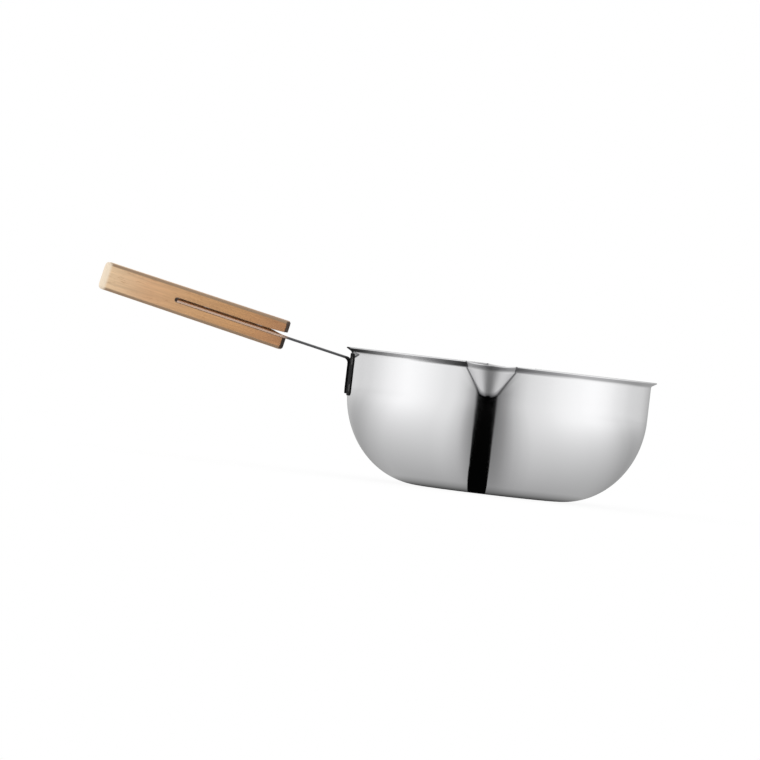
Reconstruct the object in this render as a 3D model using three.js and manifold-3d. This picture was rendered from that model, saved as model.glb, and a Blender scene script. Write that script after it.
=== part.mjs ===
// A one-handled steel pouring pan: a pressed bowl with two pouring spouts, a bent strap that is
// spot-welded to its wall over a seat plate, and a slotted wooden handle screwed to the strap.
// Millimetres, +Z up. The origin is the centre of the flat underside. The handle points along -X
// and the spouts along -Y and +Y.

import * as THREE from 'three';
import { mergeVertices } from 'three/addons/utils/BufferGeometryUtils.js';
import Module from 'manifold-3d';

const DEGREE = Math.PI / 180;

// Bowl, pressed from one sheet
const innerDiameter = 180;
const bowlSheet = 0.8;
const bowlHeight = 77.9;
const baseFlatRadius = 42;
const cornerDepth = 54;
const lipReach = 3.4;
const lipLean = 60 * DEGREE;
const lipBendRadius = 1.5;

// Pouring spouts, pressed out of the wall on both sides
const spoutWidth = 33;
const spoutDrop = 19.9;
const spoutReach = 10;
const spoutCrest = 0.4;

// Seat plate between the bowl and the strap
const seatSheet = 0.4;
const seatWidth = 54;
const seatLipGap = 0.6;
const seatBelowStrap = 1;
const seatCornerRadius = 4;

// Strap, one bent strip: a leg on the wall and a tongue, crowned to fill the slot, in the handle
const strapThickness = 1.25;
const strapWidth = 18;
const strapCornerDrop = 7.1;
const strapLegLength = 21.1;
const strapBendRadius = 3.5;
const strapEndRadius = 5;
const tongueCrown = 1.4;

// Spot welds
const weldDiameter = 5;
const weldEdgeInset = 4.6;
const weldEndInset = 4.8;
const weldPitch = 10;

// Wooden handle with the slot that takes the strap
const handleTilt = 11.7 * DEGREE;
const handleSetback = 42;
const handleLength = 117;
const handleWidth = 20;
const handleFrontThickness = 18.5;
const handleRearThickness = 17.75;
const handleEdgeRadius = 2.5;
const handleEndRadius = 6;
const handleFrontChamfer = 0.8;
const slotHeight = 2.9;
const slotLength = 69.5;
const slotFlareRise = 0.6;
const slotFlareLength = 9;
const tongueEndGap = 1.8;

// Countersunk handle screws, driven from below
const screwLength = 13.5;
const screwShankDiameter = 4;
const screwHeadDiameter = 8;
const screwHeadDepth = 2.6;
const screwHeadRim = 0.4;
const screwTip = 2.5;
const screwSink = 0.3;
const screwFirst = 16;
const screwPitch = 34;
const recessSpan = 4.4;
const recessWidth = 0.9;
const recessDepth = 1.5;

// Gaps between pieces that touch on the real pan
const sheetGap = 0.1;
const weldClearance = 0.15;
const screwClearance = 0.25;

// How far a cutter runs past the face it goes through, and how close points are one point
const cutOverrun = 1.5;
const mergeDistance = 1e-4;

// Facets
const plainColumns = 24;
const spoutColumns = [-1, -0.72, -0.46, -0.22, 0, 0.22, 0.46, 0.72, 1];
const narrowestSpout = 0.4;
const cornerRows = 8;
const spoutRows = [0, 0.05, 0.15, 0.3, 0.5, 0.75];
const leastRow = 0.8;
const lipRows = 3;
const bendRows = 6;
const stripColumns = 9;
const endRows = 4;
const roundSides = 16;

// Places worked out from the sizes above
const outerRadius = innerDiameter / 2 + bowlSheet;
const lipStraight = (lipReach - lipBendRadius * (1 - Math.cos(lipLean))) / Math.sin(lipLean);
const lipRise = (lipBendRadius + bowlSheet) * Math.sin(lipLean) + lipStraight * Math.cos(lipLean);
const wallTop = bowlHeight - lipRise;
const spoutFoot = bowlHeight - spoutDrop;
const strapCornerHeight = bowlHeight - strapCornerDrop;
const strapFoot = strapCornerHeight - strapLegLength;
const seatFoot = strapFoot - seatBelowStrap;
const seatTop = wallTop - seatLipGap;
const seatInset = -sheetGap;
const strapInset = seatInset - seatSheet - sheetGap;
const strapCentreRadius = outerRadius - strapInset + strapThickness / 2;
const slotFloor = -strapThickness / 2 - sheetGap;
const handleMiddle = slotFloor + slotHeight / 2;

const wasm = await Module();
wasm.setup();

// Shares from 0 to 1 in equal steps, both ends included
function shares(steps) {
  return Array.from({ length: steps + 1 }, (_, i) => i / steps);
}

// A closed mesh as a solid for cutting
function solidOf(geometry) {
  const bare = geometry.clone();
  bare.deleteAttribute('normal');
  bare.deleteAttribute('uv');
  const merged = mergeVertices(bare, mergeDistance);
  return new wasm.Manifold(new wasm.Mesh({
    numProp: 3,
    vertProperties: new Float32Array(merged.attributes.position.array),
    triVerts: new Uint32Array(merged.index.array),
  }));
}

function geometryOf(solid) {
  const mesh = solid.getMesh();
  const geometry = new THREE.BufferGeometry();
  geometry.setAttribute('position', new THREE.BufferAttribute(mesh.vertProperties, 3));
  geometry.setIndex(new THREE.BufferAttribute(mesh.triVerts, 1));
  geometry.computeVertexNormals();
  return geometry;
}

function cut(geometry, cutters) {
  const solid = cutters.reduce((body, cutter) => body.subtract(solidOf(cutter)), solidOf(geometry));
  return geometryOf(solid);
}

// A closed skin through closed rings of points. An end ring of one point is a fan, and any other
// end ring is closed across, from its first half to its second.
function skin(rings) {
  const points = rings.flat();
  const starts = [];
  rings.reduce((start, ring) => {
    starts.push(start);
    return start + ring.length;
  }, 0);
  const index = [];
  for (let i = 0; i + 1 < rings.length; i += 1) {
    const [a, b] = [starts[i], starts[i + 1]];
    const [lengthA, lengthB] = [rings[i].length, rings[i + 1].length];
    const around = Math.max(lengthA, lengthB);
    for (let j = 0; j < around; j += 1) {
      const next = (j + 1) % around;
      if (lengthA > 1) index.push(a + j, a + next, lengthB > 1 ? b + next : b);
      if (lengthB > 1) index.push(lengthA > 1 ? a + j : a, b + next, b + j);
    }
  }
  const closeEnd = (start, count, outward) => {
    for (let j = 0; j + 1 < count / 2; j += 1) {
      const quad = [start + j, start + j + 1, start + count - 2 - j, start + count - 1 - j];
      const turned = outward ? quad : [quad[1], quad[0], quad[3], quad[2]];
      index.push(turned[0], turned[1], turned[2], turned[0], turned[2], turned[3]);
    }
  };
  const last = rings.length - 1;
  if (rings[0].length > 1) closeEnd(starts[0], rings[0].length, false);
  if (rings[last].length > 1) closeEnd(starts[last], rings[last].length, true);
  if (signedVolume(points, index) < 0) index.reverse();
  const geometry = new THREE.BufferGeometry().setFromPoints(points);
  geometry.setIndex(index);
  geometry.computeVertexNormals();
  return geometry;
}

function signedVolume(points, index) {
  let volume = 0;
  for (let i = 0; i < index.length; i += 3) {
    const [a, b, c] = [points[index[i]], points[index[i + 1]], points[index[i + 2]]];
    volume += a.dot(new THREE.Vector3().crossVectors(b, c)) / 6;
  }
  return volume;
}

// Distances from a rounded end, and how far the sides draw in there
function endSteps(radius) {
  return shares(endRows).map((share) => radius * (1 - Math.cos(share * Math.PI / 2)));
}

function drawnIn(distance, radius) {
  const left = Math.max(radius - distance, 0);
  return radius - Math.sqrt(Math.max(radius * radius - left * left, 0));
}

// Radius of the bowl's surface, or of one set in from it, at a height
function bowlRadius(height, inset) {
  if (height >= cornerDepth) return outerRadius - inset;
  const across = outerRadius - baseFlatRadius - inset;
  const share = Math.min((cornerDepth - height) / (cornerDepth - inset), 1);
  return baseFlatRadius + across * Math.sqrt(1 - share * share);
}

// How far the wall's outward normal points down at a height
function wallLean(height) {
  const share = Math.max(cornerDepth - height, 0) / cornerDepth;
  const across = outerRadius - baseFlatRadius;
  return Math.atan2(share / cornerDepth, Math.sqrt(1 - share * share) / across);
}

// Heights of the rows of facets round the bowl's corner
function cornerHeights(inset) {
  return shares(cornerRows).slice(1).map(
    (share) => cornerDepth - (cornerDepth - inset) * Math.cos(share * Math.PI / 2),
  );
}

// Heights of those rows that lie well between two others
function cornerRowsBetween(low, high) {
  return cornerHeights(0).filter((height) => height > low + leastRow && height < high - leastRow);
}

// Half width of the spout at a height: its creases are one parabola with a round toe
function spoutHalfWidth(height) {
  const rise = Math.max(height - spoutFoot, 0);
  return (spoutWidth / 2) * Math.sqrt(rise / spoutDrop);
}

// How far the spout stands out of the wall, across from crease to crease: the same rounded V at
// every height, as large as the creases are apart there
function spoutStand(offset, height) {
  const half = spoutHalfWidth(height);
  if (offset >= half) return 0;
  const side = Math.hypot(1, spoutCrest);
  const crest = (side - Math.hypot(offset / half, spoutCrest)) / (side - spoutCrest);
  return spoutReach * (2 * half / spoutWidth) * crest;
}

// One ring of the bowl. Columns follow the creases, and stay apart near the toe and under it.
function bowlRing(radius, height) {
  const half = Math.max(spoutHalfWidth(height), narrowestSpout * spoutWidth / 2);
  const halfAngle = half / outerRadius;
  const point = (angle, reach) => new THREE.Vector3(
    reach * Math.cos(angle),
    reach * Math.sin(angle),
    height,
  );
  return [-Math.PI / 2, Math.PI / 2].flatMap((middle) => [
    ...spoutColumns.map((share) => point(
      middle + share * halfAngle,
      radius + spoutStand(Math.abs(share) * half, height),
    )),
    ...shares(plainColumns).slice(1, -1).map((share) => point(
      middle + halfAngle + share * (Math.PI - 2 * halfAngle),
      radius,
    )),
  ]);
}

function wallHeights(inset) {
  const spout = spoutRows.map((share) => spoutFoot + share * spoutDrop);
  const heights = [...cornerHeights(inset), ...spout].filter((height) => height < wallTop - leastRow);
  heights.sort((a, b) => a - b);
  const spaced = heights.filter((height, i) => i === 0 || height - heights[i - 1] > leastRow);
  return [...spaced, wallTop];
}

function lipPoints(inset) {
  const bend = lipBendRadius + inset;
  const bent = shares(lipRows).slice(1).map((share) => [
    outerRadius + lipBendRadius - bend * Math.cos(share * lipLean),
    wallTop + bend * Math.sin(share * lipLean),
  ]);
  const [radius, height] = bent.at(-1);
  const tip = [radius + lipStraight * Math.sin(lipLean), height + lipStraight * Math.cos(lipLean)];
  return [...bent, tip];
}

function bowlGeometry() {
  const surface = (inset) => [
    [new THREE.Vector3(0, 0, inset)],
    bowlRing(baseFlatRadius, inset),
    ...wallHeights(inset).map((height) => bowlRing(bowlRadius(height, inset), height)),
    ...lipPoints(inset).map(([radius, height]) => bowlRing(radius, height)),
  ];
  return skin([...surface(0), ...surface(bowlSheet).reverse()]);
}

// A weld spot's round body, square to the wall, from one distance outside it to another
function weldCylinder(weld, radius, from, to) {
  const turn = Math.asin(weld.across / outerRadius);
  const cylinder = new THREE.CylinderGeometry(radius, radius, to - from, roundSides);
  cylinder.rotateZ(Math.PI / 2);
  cylinder.translate(-(from + to) / 2, 0, 0);
  cylinder.rotateY(-wallLean(weld.height));
  cylinder.translate(-bowlRadius(weld.height, 0), 0, weld.height);
  cylinder.rotateZ(-turn);
  return cylinder;
}

const seatStand = sheetGap + seatSheet;
const strapStand = seatStand + sheetGap + strapThickness;
const lowWeld = strapFoot + weldEndInset;
const welds = [-1, 1].flatMap((side) => [
  { across: side * (strapWidth / 2 - weldEdgeInset), height: lowWeld, top: strapStand },
  { across: side * (strapWidth / 2 - weldEdgeInset), height: lowWeld + weldPitch, top: strapStand },
  { across: side * (seatWidth / 2 - weldEdgeInset), height: seatFoot + weldEndInset, top: seatStand },
  { across: side * (seatWidth / 2 - weldEdgeInset), height: seatTop - weldEndInset, top: seatStand },
]);
const weldHoles = welds.map((weld) => weldCylinder(
  weld,
  weldDiameter / 2 + weldClearance,
  -cutOverrun,
  strapStand + cutOverrun,
));

function seatGeometry() {
  const ends = endSteps(seatCornerRadius);
  const heights = [
    ...ends.map((step) => seatFoot + step),
    ...cornerRowsBetween(seatFoot + seatCornerRadius, seatTop - seatCornerRadius),
    ...ends.map((step) => seatTop - step).reverse(),
  ];
  const rings = heights.map((height) => {
    const nearEnd = Math.min(height - seatFoot, seatTop - height);
    const half = seatWidth / 2 - drawnIn(nearEnd, seatCornerRadius);
    const face = (inset) => shares(stripColumns).map((share) => {
      const radius = bowlRadius(height, 0) - inset;
      const angle = (2 * share - 1) * half / outerRadius;
      return new THREE.Vector3(-radius * Math.cos(angle), radius * Math.sin(angle), height);
    });
    return [...face(seatInset), ...face(seatInset - seatSheet).reverse()];
  });
  return cut(skin(rings), weldHoles);
}

// Stations along the strap's middle: place, the direction across its thickness, half width, how
// much of the wall's curve it takes on, and how far its middle is crowned
function strapStations() {
  const turn = Math.PI / 2 - handleTilt;
  const tangent = strapBendRadius * Math.tan(turn / 2);
  const bendStart = strapCornerHeight - tangent;
  const half = strapWidth / 2;
  const legAt = (height) => ({
    x: -(bowlRadius(height, 0) + strapCentreRadius - outerRadius),
    z: height,
    lean: 0,
    half: half - drawnIn(height - strapFoot, strapEndRadius),
    curve: 1,
    crown: 0,
  });
  const leg = [
    ...endSteps(strapEndRadius).map((step) => strapFoot + step),
    ...cornerRowsBetween(strapFoot + strapEndRadius, bendStart),
    bendStart,
  ].map(legAt);
  const bend = shares(bendRows).slice(1).map((share) => ({
    x: -strapCentreRadius - strapBendRadius * (1 - Math.cos(share * turn)),
    z: bendStart + strapBendRadius * Math.sin(share * turn),
    lean: share * turn,
    half,
    curve: 1,
    crown: 0,
  }));
  const tongue = [0, slotFlareLength, slotLength - tongueEndGap].map((inside) => ({
    x: -strapCentreRadius - (handleSetback + inside) * Math.cos(handleTilt),
    z: strapCornerHeight + (handleSetback + inside) * Math.sin(handleTilt),
    lean: turn,
    half,
    curve: 0,
    crown: inside > 0 ? tongueCrown : 0,
  }));
  return [...leg, ...bend, ...tongue];
}

function strapGeometry() {
  const rings = strapStations().map(({ x, z, lean, half, curve, crown }) => {
    const face = (side) => shares(stripColumns).map((share) => {
      const across = (2 * share - 1) * half;
      const sag = strapCentreRadius - Math.sqrt(strapCentreRadius ** 2 - across ** 2);
      const lift = crown * (1 - (across / half) ** 2) - side * strapThickness / 2;
      return new THREE.Vector3(
        x + curve * sag + lift * Math.cos(lean),
        across,
        z + lift * Math.sin(lean),
      );
    });
    return [...face(1), ...face(-1).reverse()];
  });
  const screwHoles = screwPlaces.map(({ x }) => {
    const depth = strapThickness + 2 * cutOverrun;
    const hole = screwCylinder(screwShankDiameter / 2 + screwClearance, depth);
    hole.translate(x, 0, -depth / 2);
    return hole.applyMatrix4(handleFrame.matrix);
  });
  return cut(skin(rings), [...weldHoles, ...screwHoles]);
}

// The handle's own frame: its origin is the strap's corner and -X runs along the handle
const handleFrame = new THREE.Group();
handleFrame.position.set(-strapCentreRadius, 0, strapCornerHeight);
handleFrame.rotation.y = handleTilt;
handleFrame.updateMatrix();

function handleThickness(along) {
  return THREE.MathUtils.lerp(handleFrontThickness, handleRearThickness, along / handleLength);
}

const screwPlaces = [screwFirst, screwFirst + screwPitch].map((along) => ({
  x: -(handleSetback + along),
  z: handleMiddle - handleThickness(along) / 2 + screwSink,
}));

function screwCylinder(radius, length) {
  const cylinder = new THREE.CylinderGeometry(radius, radius, length, roundSides);
  cylinder.rotateX(Math.PI / 2);
  cylinder.translate(0, 0, length / 2);
  return cylinder;
}

// A screw standing on its head, or the room it needs with a clearance and the head's way out
function screwTurned(clearance, below) {
  const head = screwHeadDiameter / 2 + clearance;
  const shank = screwShankDiameter / 2 + clearance;
  const profile = [
    [0, -below],
    [head, -below],
    [head, screwHeadRim],
    [shank, screwHeadDepth + clearance],
    [shank, screwLength - screwTip + clearance],
    [0, screwLength + clearance],
  ].map(([radius, height]) => new THREE.Vector2(radius, height));
  const turned = new THREE.LatheGeometry(profile, roundSides);
  turned.rotateX(Math.PI / 2);
  return turned;
}

function screwGeometry() {
  const bar = (length, width) => {
    const box = new THREE.BoxGeometry(length, width, recessDepth + cutOverrun);
    return box.translate(0, 0, (recessDepth - cutOverrun) / 2);
  };
  return cut(screwTurned(0, 0), [bar(recessSpan, recessWidth), bar(recessWidth, recessSpan)]);
}

// Points round a rectangle with rounded corners, lower half first
function roundedSection(x, width, thickness, radius) {
  const arc = (side) => shares(endRows).map((share) => {
    const turn = side < 0 ? share * Math.PI / 2 : (1 - share) * Math.PI / 2;
    return [
      side * (width / 2 - radius + radius * Math.cos(turn)),
      -(thickness / 2 - radius + radius * Math.sin(turn)),
    ];
  });
  const lower = [...arc(-1), ...arc(1)];
  const upper = lower.map(([y, z]) => [y, -z]).reverse();
  return [...lower, ...upper].map(([y, z]) => new THREE.Vector3(x, y, handleMiddle + z));
}

function handleGeometry() {
  const rounding = Math.min(handleEdgeRadius, handleEndRadius);
  const rear = endSteps(handleEndRadius).map((step) => handleLength - step).reverse();
  const rings = [0, handleFrontChamfer, ...rear].map((along) => {
    const bevel = Math.max(handleFrontChamfer - along, 0);
    const toEnd = handleLength - along;
    const width = handleWidth - 2 * (bevel + drawnIn(toEnd, handleEndRadius));
    const thickness = handleThickness(along) - 2 * (bevel + drawnIn(toEnd, rounding));
    return roundedSection(-(handleSetback + along), width, thickness, handleEdgeRadius);
  });
  const screwRooms = screwPlaces.map(({ x, z }) => {
    const room = screwTurned(screwClearance, screwSink + cutOverrun);
    return room.translate(x, 0, z);
  });
  return cut(skin(rings), [slotGeometry(), ...screwRooms]);
}

// The slot for the strap, right through the handle's width, with a round inner end and a mouth
// that flares upwards
function slotGeometry() {
  const [front, end] = [-handleSetback, -(handleSetback + slotLength)];
  const slotTop = slotFloor + slotHeight;
  const radius = slotHeight / 2;
  const outline = new THREE.Shape();
  outline.moveTo(front + cutOverrun, slotFloor);
  outline.lineTo(front + cutOverrun, slotTop + slotFlareRise);
  outline.lineTo(front, slotTop + slotFlareRise);
  outline.lineTo(front - slotFlareLength, slotTop);
  outline.lineTo(end + radius, slotTop);
  outline.absarc(end + radius, slotFloor + radius, radius, Math.PI / 2, 1.5 * Math.PI);
  outline.closePath();
  const slot = new THREE.ExtrudeGeometry(outline, {
    depth: handleWidth + 2 * cutOverrun,
    bevelEnabled: false,
    curveSegments: roundSides / 2,
  });
  slot.rotateX(Math.PI / 2);
  return slot.translate(0, handleWidth / 2 + cutOverrun, 0);
}

const polishedSteel = new THREE.MeshStandardMaterial({ color: 0xc9c9cb, roughness: 0.12, metalness: 1 });
const satinSteel = new THREE.MeshStandardMaterial({ color: 0xb4b4b6, roughness: 0.3, metalness: 1 });
const weldSteel = new THREE.MeshStandardMaterial({ color: 0x9c9a96, roughness: 0.4, metalness: 1 });
const screwSteel = new THREE.MeshStandardMaterial({ color: 0xa8a8aa, roughness: 0.25, metalness: 1 });
const oiledBeech = new THREE.MeshStandardMaterial({ color: 0xd2a373, roughness: 0.55, metalness: 0 });

function piece(name, geometry, material) {
  const mesh = new THREE.Mesh(geometry, material);
  mesh.name = name;
  return mesh;
}

const pan = new THREE.Group();
pan.add(piece('pot_body', bowlGeometry(), polishedSteel));
pan.add(piece('seat_plate', seatGeometry(), satinSteel));
pan.add(piece('handle_strap', strapGeometry(), satinSteel));
welds.forEach((weld, i) => {
  const spot = weldCylinder(weld, weldDiameter / 2, sheetGap, weld.top - weldClearance);
  pan.add(piece(`spot_weld_${i + 1}`, spot, weldSteel));
});
handleFrame.add(piece('wooden_handle', handleGeometry(), oiledBeech));
['front', 'rear'].forEach((end, i) => {
  const screw = piece(`handle_screw_${end}`, screwGeometry(), screwSteel);
  screw.position.set(screwPlaces[i].x, 0, screwPlaces[i].z);
  handleFrame.add(screw);
});
pan.add(handleFrame);

export default pan;
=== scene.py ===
"""Looks of a one-handled steel pouring pan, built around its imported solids.

Metres, +Z up, in the frame of the solids: the origin is the centre of the flat underside, the
handle points along -X and the pouring spouts along -Y and +Y.
"""

import logging
import math
from collections import Counter
from collections.abc import Callable, Mapping, Sequence
from dataclasses import dataclass, replace
from enum import Enum
from functools import cache
from itertools import accumulate, pairwise

import bmesh
import bpy
from mathutils import Matrix, Quaternion, Vector
from mathutils.geometry import delaunay_2d_cdt


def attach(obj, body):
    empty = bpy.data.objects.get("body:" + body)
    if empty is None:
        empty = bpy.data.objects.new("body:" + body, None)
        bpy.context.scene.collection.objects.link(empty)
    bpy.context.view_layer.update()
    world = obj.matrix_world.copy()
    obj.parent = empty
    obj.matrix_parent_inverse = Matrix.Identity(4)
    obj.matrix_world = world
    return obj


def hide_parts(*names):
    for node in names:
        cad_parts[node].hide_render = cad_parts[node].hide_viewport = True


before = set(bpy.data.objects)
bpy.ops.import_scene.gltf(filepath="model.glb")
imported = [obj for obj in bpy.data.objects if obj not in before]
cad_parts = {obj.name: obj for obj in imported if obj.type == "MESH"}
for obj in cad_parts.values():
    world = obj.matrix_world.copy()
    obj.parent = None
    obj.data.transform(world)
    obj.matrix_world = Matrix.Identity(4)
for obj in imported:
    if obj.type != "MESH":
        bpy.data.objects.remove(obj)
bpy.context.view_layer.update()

MM = 0.001
BODY = "root"

# Point attributes: a place on a strip before it was bent, and what was done to the sheet, with the
# painted shade that it gets
FLAT_PLACE = "flat_place"
WORKED_AND_SHADED = "worked_and_shaded"

# An edge is shaded sharp from the first angle on, and broken from the second
SHARP_ANGLE = math.radians(40)
BEVEL_ANGLE = math.radians(50)
BEVEL_SEGMENTS = 2

# Where most of the sum of two noises lies
TWO_NOISES = (0.6, 1.4)

Tree = bpy.types.NodeTree
Socket = bpy.types.NodeSocket
Piece = bpy.types.Object
Colour = Socket | Sequence[float]
Profile = list[tuple[float, float]]
log = logging.getLogger("pouring_pan")


class Slot(Enum):
    """The record's material slots."""

    POLISHED_STEEL = "polished_steel"
    SATIN_STEEL = "satin_steel"
    WELD_STEEL = "weld_steel"
    SCREW_STEEL = "screw_steel"
    OILED_BEECH = "oiled_beech"


class Grain(Enum):
    """Which way the fine marks on a steel surface run."""

    ROUND = "round the piece's own axis"
    ALONG = "along the strip that it was cut from"


# Materials


def linear(code: str) -> tuple[float, float, float, float]:
    """Turn an sRGB colour into a linear one.

    Args:
        code: A number sign and six hex digits.

    Returns:
        Linear red, green and blue, and an alpha of 1.
    """
    parts = [int(code[i : i + 2], 16) / 255 for i in (1, 3, 5)]
    red, green, blue = (p / 12.92 if p <= 0.04045 else ((p + 0.055) / 1.055) ** 2.4 for p in parts)
    return red, green, blue, 1.0


BLACK, WHITE = linear("#000000"), linear("#ffffff")


def add_node(
    tree: Tree,
    kind: str,
    feeds: Mapping[str | int, object] | None = None,
    stops: Sequence[tuple[float, Sequence[float]]] = (),
    **settings: object,
) -> bpy.types.Node:
    """Add a node to a tree, with its settings and links.

    Args:
        tree: The tree that gets the node.
        kind: The node's type, without the prefix that all shader nodes have.
        feeds: What each input takes, by its name or index: an output to link, or a value.
        stops: Positions and colours of a colour ramp.
        **settings: The node's own properties.

    Returns:
        The new node.
    """
    node = tree.nodes.new(f"ShaderNode{kind}")
    for name, value in settings.items():
        setattr(node, name, value)
    for key, value in (feeds or {}).items():
        if isinstance(value, Socket):
            tree.links.new(value, node.inputs[key])
        else:
            node.inputs[key].default_value = value
    for i, (position, colour) in enumerate(stops):
        elements = node.color_ramp.elements
        element = elements[i] if i < len(elements) else elements.new(position)
        element.position, element.color = position, colour
    return node


def new_material(name: str) -> tuple[bpy.types.Material, Tree]:
    """Make an empty node material.

    Args:
        name: What the material is called.

    Returns:
        The material and its node tree.
    """
    material = bpy.data.materials.new(name)
    material.use_nodes = True
    material.node_tree.nodes.clear()
    return material, material.node_tree


def close_material(tree: Tree, height: Socket, depth: float, feeds: Mapping[str, object]) -> None:
    """Add a material's relief, shader and output.

    Args:
        tree: The material's tree.
        height: The relief, from 0 to 1.
        depth: Its depth.
        feeds: What else the shader takes.
    """
    bump = {"Height": height, "Strength": 1.0, "Distance": depth}
    relief = add_node(tree, "Bump", bump).outputs[0]
    shader = add_node(tree, "BsdfPrincipled", {**feeds, "Normal": relief})
    add_node(tree, "OutputMaterial", {"Surface": shader.outputs[0]})


def patches(
    tree: Tree, place: Socket, size: Sequence[float], detail: float, wander: float = 0.0
) -> Socket:
    """Draw irregular patches of a real size.

    Args:
        tree: The material's tree.
        place: The place on the surface.
        size: A patch's size along each axis.
        detail: How many finer patches lie in each one, in steps of half its size.
        wander: How much the patches bend.

    Returns:
        A value from 0 to 1.
    """
    scale = tuple(1 / length for length in size)
    scaled = add_node(tree, "VectorMath", {0: place, 1: scale}, operation="MULTIPLY")
    feeds = {"Vector": scaled.outputs[0], "Scale": 1.0, "Detail": detail, "Distortion": wander}
    return add_node(tree, "TexNoise", feeds).outputs["Fac"]


def from_axis(tree: Tree, place: Socket) -> Socket:
    """Distance of a place from the piece's own Z axis."""
    level = add_node(tree, "VectorMath", {0: place, 1: (1, 1, 0)}, operation="MULTIPLY")
    return add_node(tree, "VectorMath", {0: level.outputs[0]}, operation="LENGTH").outputs["Value"]


def coated(tree: Tree, colour: Colour, coats: Sequence[tuple[Socket, str]]) -> Colour:
    """Lay colours over a colour.

    Args:
        tree: The material's tree.
        colour: The colour underneath, as a value or an output.
        coats: How much there is of each colour, from 0 to 1, and the colour, from the lowest up.

    Returns:
        The colour that shows.
    """
    for share, code in coats:
        feeds = {0: share, 6: colour, 7: linear(code)}
        colour = add_node(tree, "Mix", feeds, data_type="RGBA").outputs[2]
    return colour


@dataclass(frozen=True)
class SteelFinish:
    """Stainless steel with the marks that its last finishing step left.

    Attributes:
        name: The steel and how its surface was made.
        colour: Colour of a straight reflection.
        roughness: Mean roughness.
        spread: How far marks and handling move the roughness up and down.
        grain: Which way the marks run.
        mark_pitch: Distance from mark to mark.
        mark_length: Length of a mark along the grain. A millimetre of a round mark is a degree.
        mark_depth: Depth of a mark.
        mark_detail: How many finer marks lie in each one, in steps of half its size.
        smudge: Width of the cloudy patches that wiping leaves.
        smudge_detail: How many finer patches lie in each one.
    """

    name: str
    colour: str
    roughness: float
    spread: float
    grain: Grain
    mark_pitch: float
    mark_length: float
    mark_depth: float
    mark_detail: float = 3.0
    smudge: float = 22 * MM
    smudge_detail: float = 2.0

    def marks(self, tree: Tree) -> Socket:
        """Draw the fine marks.

        Args:
            tree: The material's tree.

        Returns:
            A value from 0 to 1, stretched along the grain.
        """
        if self.grain is Grain.ALONG:
            place = add_node(tree, "Attribute", attribute_name=FLAT_PLACE).outputs["Vector"]
            length = self.mark_length
        else:
            corner = add_node(tree, "TexCoord").outputs["Object"]
            parts = add_node(tree, "SeparateXYZ", {0: corner}).outputs
            angle = add_node(tree, "Math", {0: parts["Y"], 1: parts["X"]}, operation="ARCTAN2")
            feeds = {"X": angle.outputs[0], "Y": from_axis(tree, corner), "Z": parts["Z"]}
            place = add_node(tree, "CombineXYZ", feeds).outputs[0]
            length = math.radians(self.mark_length / MM)
        size = (length, self.mark_pitch, self.mark_pitch)
        return patches(tree, place, size, self.mark_detail)

    def look(self, tree: Tree, roughness: Socket) -> dict[str, object]:
        """What the shader takes: here one colour, and the marks' roughness."""
        return {"Base Color": linear(self.colour), "Metallic": 1.0, "Roughness": roughness}

    @cache
    def material(self) -> bpy.types.Material:
        """Make the material once, with roughness and relief from its marks.

        Returns:
            The material.
        """
        material, tree = new_material(self.name)
        marks = self.marks(tree)
        place = add_node(tree, "TexCoord").outputs["Object"]
        smudges = patches(tree, place, [self.smudge] * 3, self.smudge_detail)
        both = add_node(tree, "Math", {0: marks, 1: smudges}, operation="ADD").outputs[0]
        least, most = TWO_NOISES
        low, high = self.roughness - self.spread, self.roughness + self.spread
        feeds = {"Value": both, "From Min": least, "From Max": most, "To Min": low, "To Max": high}
        roughness = add_node(tree, "MapRange", feeds).outputs[0]
        close_material(tree, marks, self.mark_depth, self.look(tree, roughness))
        return material


@dataclass(frozen=True)
class BlackenedSteel(SteelFinish):
    """Steel partly under a matt black that is no metal.

    On the strap and seat plate it is oxide that heat left; on the bowl's lip it is painted shade.

    Attributes:
        scale: Colour of the oxide, and of the painted black shade on the bowl's lip.
        scale_roughness: Roughness of that black.
        scale_gloss: Specular level of that black.
    """

    scale: str = "#0c0c0d"
    scale_roughness: float = 0.85
    scale_gloss: float = 0.1

    def shown(self, colour: Colour, metal: Socket, roughness: Socket) -> dict[str, object]:
        """What the shader takes, where metal is 0 on the black oxide and painted shade, and 1
        beside it.
        """
        gloss = {"Specular IOR Level": self.scale_gloss}
        return {"Base Color": colour, "Metallic": metal, "Roughness": roughness, **gloss}


@dataclass(frozen=True)
class PressedSteel(BlackenedSteel):
    """Polished sheet that pressing drew dull in the spouts, with painted grey shade in its creases
    and under the lip, and painted black under the lip towards the handle.

    Attributes:
        drawn_roughness: Roughness where it was drawn out the most.
        crease: Colour of the painted grey shade in the creases and under the lip by the spouts.
    """

    drawn_roughness: float = 0.42
    crease: str = "#5c5c5e"

    def look(self, tree: Tree, roughness: Socket) -> dict[str, object]:
        """Dull the steel in the spouts, and paint grey shade in the creases and black under the
        lip.

        Args:
            tree: The material's tree.
            roughness: The marks' roughness.

        Returns:
            What the shader takes.
        """
        worked_and_shaded = add_node(tree, "Attribute", attribute_name=WORKED_AND_SHADED).outputs["Vector"]
        drawn, painted_shade, scaled = add_node(tree, "SeparateXYZ", {0: worked_and_shaded}).outputs
        # Painted shade: grey in the creases and under the lip by the spouts, black under the lip
        # towards the handle
        coats = ((painted_shade, self.crease), (scaled, self.scale))
        colour = coated(tree, linear(self.colour), coats)
        for share, dull in ((drawn, self.drawn_roughness), (scaled, self.scale_roughness)):
            roughness = add_node(tree, "Mix", {0: share, 2: roughness, 3: dull}).outputs[0]
        metal = add_node(tree, "Math", {0: 1.0, 1: scaled}, operation="SUBTRACT").outputs[0]
        return self.shown(colour, metal, roughness)


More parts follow.
